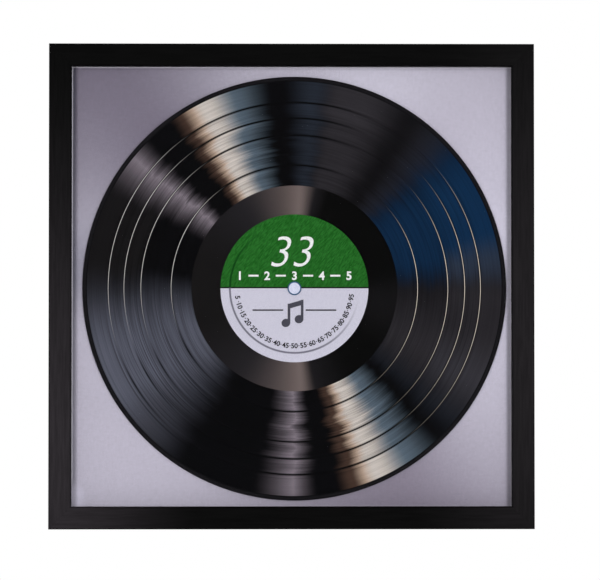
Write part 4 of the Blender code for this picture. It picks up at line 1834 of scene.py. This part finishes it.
@dataclass
class Buttons:
    """The turn buttons that close the back, and their cross-head screws."""

    gauge: float = 0.0010
    root_radius: float = 0.0048
    tip_radius: float = 0.0034
    edge: float = 0.00028
    lift: float = 0.0011
    lift_share: float = 0.35
    shank: float = 0.00125
    head_radius: float = 0.0029
    head_height: float = 0.0018
    cross_length: float = 0.0034
    cross_width: float = 0.0008
    cross_depth: float = 0.0010
    steps: int = 48
    lift_steps: int = 6
    dome_steps: int = 8
    point: float = 0.002

    def finger(self, reach: float) -> Shape:
        """A stamped finger about its screw, on Z = 0, with its tip along +Y raised.

        Args:
            reach: how far the tip lies from the screw.

        Returns:
            The shape.
        """
        shape = blank()
        for radius, along in ((self.root_radius, 0.0), (self.tip_radius, reach - self.tip_radius)):
            made = bmesh.ops.create_cone(
                shape, cap_ends=False, segments=self.steps, radius1=radius, radius2=radius, depth=self.gauge
            )
            bmesh.ops.translate(shape, vec=(0, along, self.gauge / 2), verts=made["verts"])
        hull = bmesh.ops.convex_hull(shape, input=shape.verts)
        spare = only(hull["geom_interior"] + hull["geom_unused"], bmesh.types.BMVert)
        bmesh.ops.delete(shape, geom=spare, context="VERTS")
        bmesh.ops.dissolve_limit(shape, angle_limit=STRAIGHT, verts=shape.verts, edges=shape.edges)
        ease(shape, crisp_edges(shape, STAMPED), self.edge, 3)
        span = reach * self.lift_share
        start = reach - span
        for cut in range(self.lift_steps):
            cut_along(shape, (0, start + span * cut / self.lift_steps, 0), (0, 1, 0))
        for vert in shape.verts:
            vert.co.z += self.lift * (max(vert.co.y - start, 0) / span) ** 2
        return shape

    def screw(self, length: float) -> Shape:
        """A pan-head screw, its head's seat on Z = 0 and its point below.

        Args:
            length: from the seat to the point.

        Returns:
            The shape, with a cross recess in its head.
        """
        dome = []
        for step in range(self.dome_steps + 1):
            angle = QUARTER * step / self.dome_steps
            dome.append((self.head_radius * math.sin(angle), self.head_height * (1 + math.cos(angle)) / 2))
        shank = [(self.head_radius, 0), (self.shank, 0), (self.shank, self.point - length), (0, -length)]
        sizes = ((self.cross_length, self.cross_width), (self.cross_width, self.cross_length))
        cross = [bar((*size, self.cross_depth * 2), (0, 0, self.head_height)) for size in sizes]
        return combined(lathe(dome + shank, self.steps // 2), cross, "DIFFERENCE")

    def build(self) -> None:
        """Makes a button and a screw at each pair of CAD nodes."""
        zinc = Metal("zinc_plate", (188, 190, 190), (168, 170, 172), 0.34).material()
        bright = Metal("screw_steel", (200, 200, 198), (176, 176, 176), 0.26).material()
        for side in SIDES:
            turned = Matrix.Rotation(QUARTER * side.turn, 4, "Y").inverted()
            for end in side.ends:
                key = f"{side.name}_{end}"
                screw = Place.of("button_screw_" + key)
                flat = Place.of("turn_button_" + key)
                axis = screw.at_depth(flat.low.y)
                reach = max(abs(value) for corner in (flat.low, flat.high) for value in (corner - axis).xz)
                finger = put(self.finger(reach), Matrix.Translation(axis) @ turned @ REVERSED @ ABOUT)
                piece("catch_" + key, finger, zinc, ["turn_button_" + key], "button_" + key)
                seat = screw.at_depth(screw.high.y - self.head_height)
                pin = put(self.screw(screw.size.y - self.head_height), Matrix.Translation(seat) @ REVERSED)
                piece("catch_screw_" + key, pin, bright, ["button_screw_" + key])


@dataclass
class WallFittings:
    """The sawtooth hanger with its nails, and the two bumpers."""

    teeth: int = 12
    pitch: float = 0.0021
    tooth_depth: float = 0.0014
    height: float = 0.009
    tab: float = 0.008
    ramp: float = 0.0018
    lift: float = 0.0016
    gauge: float = 0.0008
    edge: float = 0.00012
    nail_head: float = 0.0017
    nail_height: float = 0.0006
    nail_shank: float = 0.0007
    bumper_edge: float = 0.0014
    steps: int = 48
    ramp_steps: int = 4
    round_steps: int = 20
    nail_round: float = 0.0002
    nail_point: float = 0.0015
    nail_steps: int = 3
    bumper_steps: int = 8
    bumper_dish: float = 0.0002

    def hanger(self) -> Shape:
        """The strip on Z = 0 with its teeth towards -Y, its middle raised.

        Returns:
            The shape.
        """
        span = self.pitch * self.teeth
        foot, low = span / 2 + self.ramp, self.height / 2
        half = foot + self.tab
        outline: list[Point] = []
        for tooth in range(self.teeth):
            notch = self.pitch * tooth - span / 2
            outline += [(notch, self.tooth_depth - low), (notch + self.pitch / 2, -low)]
        outline += [(span / 2, self.tooth_depth - low), (span / 2 + self.tooth_depth, -low)]
        outline += arc((half - low, 0), low, -1, 2, self.round_steps)
        outline += arc((low - half, 0), low, 1, 2, self.round_steps)
        outline += [(-span / 2 - self.tooth_depth, -low)]
        shape = flat_shape([outline], self.gauge)
        bmesh.ops.dissolve_limit(shape, angle_limit=STRAIGHT, verts=shape.verts, edges=shape.edges)
        ease(shape, crisp_edges(shape, STAMPED), self.edge, 2)
        moved(shape, (0, 0, self.gauge / 2))
        for cut in range(self.ramp_steps + 1):
            for sign in SIGNS:
                cut_along(shape, ((foot - self.ramp * cut / self.ramp_steps) * sign, 0, 0), (1, 0, 0))
        for vert in shape.verts:
            share = min(max((foot - abs(vert.co.x)) / self.ramp, 0), 1)
            vert.co.z += self.lift * share * share * (3 - 2 * share)
        return shape

    def nail(self, length: float) -> Shape:
        """A nail with a flat round head, its seat on Z = 0.

        Args:
            length: from the seat to the point.

        Returns:
            The shape.
        """
        head, tall, rounding = self.nail_head, self.nail_height, self.nail_round
        profile: list[Point] = [(0, tall)]
        profile += arc((head - rounding, tall - rounding), rounding, 1, -1, self.nail_steps)
        profile += [(head, 0), (self.nail_shank, 0)]
        profile += [(self.nail_shank, self.nail_point - length), (0, -length)]
        return lathe(profile, self.steps // 2)

    def bumper(self, radius: float, tall: float) -> Shape:
        """A soft foot on Z = 0, a little dished on top.

        Args:
            radius: its radius.
            tall: its height.

        Returns:
            The shape.
        """
        edge, dish = self.bumper_edge, self.bumper_dish
        profile: list[Point] = [(0, tall - dish), (radius - edge - dish * 3, tall - dish / 2)]
        profile += arc((radius - edge, tall - edge), edge, 1, -1, self.bumper_steps)
        profile += [(radius, dish), (radius - dish, 0), (0, 0)]
        return lathe(profile, self.steps)

    def build(self) -> None:
        """Makes the hanger, its nails and the bumpers."""
        strip = Place.of("hanger")
        brass = Metal("brass_plate", (214, 178, 104), (198, 162, 92), 0.3).material()
        stand = Matrix.Translation(strip.at_depth(strip.low.y)) @ REVERSED @ ABOUT
        piece("sawtooth_hanger", put(self.hanger(), stand), brass, ["hanger"])
        rubber = Matt("bumper_rubber", (52, 52, 54), (40, 40, 42), 0.7, 0.0005).material()
        for end in SIDES[0].ends:
            nail = Place.of("hanger_nail_" + end)
            seat = nail.at_depth(nail.high.y - self.nail_height)
            shape = put(self.nail(nail.size.y - self.nail_height), Matrix.Translation(seat) @ REVERSED)
            piece("pin_nail_" + end, shape, brass, ["hanger_nail_" + end])
            foot = Place.of("bumper_" + end)
            stand = Matrix.Translation(foot.at_depth(foot.low.y)) @ REVERSED
            shape = put(self.bumper(foot.size.x / 2, foot.size.y), stand)
            piece("wall_bumper_" + end, shape, rubber, ["bumper_" + end])


# The studio


@dataclass(frozen=True)
class Softbox:
    """A rectangular lamp aimed at the frame's middle."""

    name: str
    spot: Triple
    width: float
    height: float
    power: float
    mirrored: bool = True


@dataclass
class Studio:
    """White surroundings, soft lamps, a pale floor, and the camera at the photograph's angle."""

    distance: float = 2.0
    yaw: float = 0.70
    pitch: float = 1.24
    aim_right: float = 0.00583
    aim_up: float = -0.00282
    focal_mm: float = 169.57
    floor_drop: float = 0.9
    floor_side: float = 12.0
    floor_glow: float = 0.75
    floor_fade: Point = (1.5, 5.5)
    floor_depths: Point = (-0.2, 0.5)
    floor_levels: Point = (0.2, 1.2)
    front_level: float = 0.15
    dark_level: float = 0.01
    fill_level: float = 0.35
    lamps: tuple[Softbox, ...] = (
        Softbox("softbox_left", (-0.64, -1.90, 0.10), 0.40, 0.9, 13.2, mirrored=False),
        Softbox("softbox_right", (0.64, -1.90, 0.10), 0.40, 0.9, 13.2, mirrored=False),
        Softbox("back_softbox", (0.5, 1.4, 0.9), 1.0, 1.0, 16.0),
    )
    room_depths: Point = (-0.97, -0.80)
    behind_depths: Point = (0.05, 0.45)
    clip_span: Point = (0.05, 50)
    floor_tones: tuple[Colour, Colour] = ((243, 243, 244), (240, 240, 241))
    floor_cloud: float = 0.4

    def camera(self, place: Place) -> None:
        """Sets the camera up.

        Args:
            place: where the moulding lies.
        """
        data = bpy.data.cameras.new("camera")
        data.lens = self.focal_mm
        data.clip_start, data.clip_end = self.clip_span
        obj = in_scene(bpy.data.objects.new("camera", data))
        yaw, pitch = math.radians(self.yaw), math.radians(self.pitch)
        look = Vector((math.sin(yaw) * math.cos(pitch), math.cos(yaw) * math.cos(pitch), math.sin(pitch)))
        aim = place.at_depth(place.low.y) + Vector((self.aim_right, 0, self.aim_up))
        obj.location = aim - look * self.distance
        obj.rotation_euler = look.to_track_quat("-Z", "Y").to_euler()
        bpy.context.scene.camera = obj

    def light(self, place: Place) -> None:
        """Hangs the lamps.

        Args:
            place: where the moulding lies.
        """
        for lamp in self.lamps:
            data = bpy.data.lights.new(lamp.name, "AREA")
            data.shape = "RECTANGLE"
            data.size = lamp.width
            data.size_y = lamp.height
            data.energy = lamp.power
            obj = in_scene(bpy.data.objects.new(lamp.name, data))
            obj.visible_glossy = lamp.mirrored
            obj.location = Vector(lamp.spot) + Vector((0, 0, place.middle.z))
            obj.rotation_euler = (place.middle - obj.location).to_track_quat("-Z", "Y").to_euler()

    def surroundings(self) -> None:
        """White all round for the camera and behind the frame, and a dim room in front of it.

        Glass, lacquer and metal mirror the white wherever they face it, and the dim room from the front.
        """
        world = bpy.data.worlds.new("studio")
        bpy.context.scene.world = world
        world.use_nodes = True
        sky = Nodes(world.node_tree)
        rays = sky.rays()
        depth = sky.axes(sky.add("TexCoord", {}))[1]
        room = sky.remap(depth, *self.room_depths, self.dark_level, self.front_level)
        behind = sky.remap(depth, *self.behind_depths)
        mirrored = sky.most((rays["Is Glossy Ray"], rays["Is Transmission Ray"]))
        shown = sky.maths("ADD", room, sky.times(behind, sky.beyond(1.0, room)))
        level = sky.times(mirrored, sky.beyond(shown, self.fill_level))
        level = sky.maths("ADD", level, self.fill_level)
        level = sky.maths("ADD", level, sky.times(rays["Is Camera Ray"], sky.beyond(1.0, level)))
        ground = sky.tree.nodes["Background"]
        sky.feed(ground.inputs["Color"], WHITE)
        sky.feed(ground.inputs["Strength"], level)

    def floor(self, place: Place) -> None:
        """Lays the pale floor under the frame, dim in mirror images in front of it as the room is.

        Args:
            place: where the moulding lies.
        """
        shape = blank()
        bmesh.ops.create_grid(shape, x_segments=8, y_segments=8, size=self.floor_side / 2)
        obj = in_scene(as_object("floor", moved(shape, (0, 0, place.low.z - self.floor_drop))))
        recipe = Recipe("pale_floor", 0.9, gloss=0.0)
        rays = recipe.rays()
        mirrored = rays["Is Glossy Ray"]
        pale = recipe.mix(recipe.noise(recipe.spot(size=self.floor_cloud)), *self.floor_tones)
        recipe.set("Base Color", recipe.mix(mirrored, pale, Tone.PITCH))
        where = recipe.spot()
        level = recipe.remap(recipe.axes(where)[1], *self.floor_depths, *self.floor_levels)
        level = recipe.times(level, recipe.remap(recipe.length(where), *self.floor_fade, 1, 0))
        level = recipe.times(mirrored, level)
        seen = recipe.most((rays["Is Camera Ray"], level, rays["Is Transmission Ray"]))
        recipe.set("Emission Color", WHITE)
        recipe.set("Emission Strength", recipe.times(seen, self.floor_glow))
        obj.data.materials.append(recipe.material)

    def build(self, place: Place) -> None:
        """Sets up the whole studio.

        Args:
            place: where the moulding lies.
        """
        bpy.context.scene.view_settings.view_transform = "Standard"
        self.surroundings()
        self.light(place)
        self.floor(place)
        self.camera(place)


def main() -> None:
    """Builds the frame from the outside in, then its fittings and the studio."""
    logging.basicConfig(level=logging.INFO, format="%(message)s")
    moulding = Moulding()
    moulding.build()
    low, high = moulding.place.low, moulding.place.high
    inset = Vector((moulding.face, 0, moulding.face))
    sight = Place(low + inset, high - inset)
    disc, label = Disc(), Label()
    Inserts().build(disc.place.middle, sight)
    disc.build(label.radius)
    label.build(disc.place.middle)
    Peg().build()
    Buttons().build()
    WallFittings().build()
    Studio().build(moulding.place)


if __name__ == "__main__":
    main()
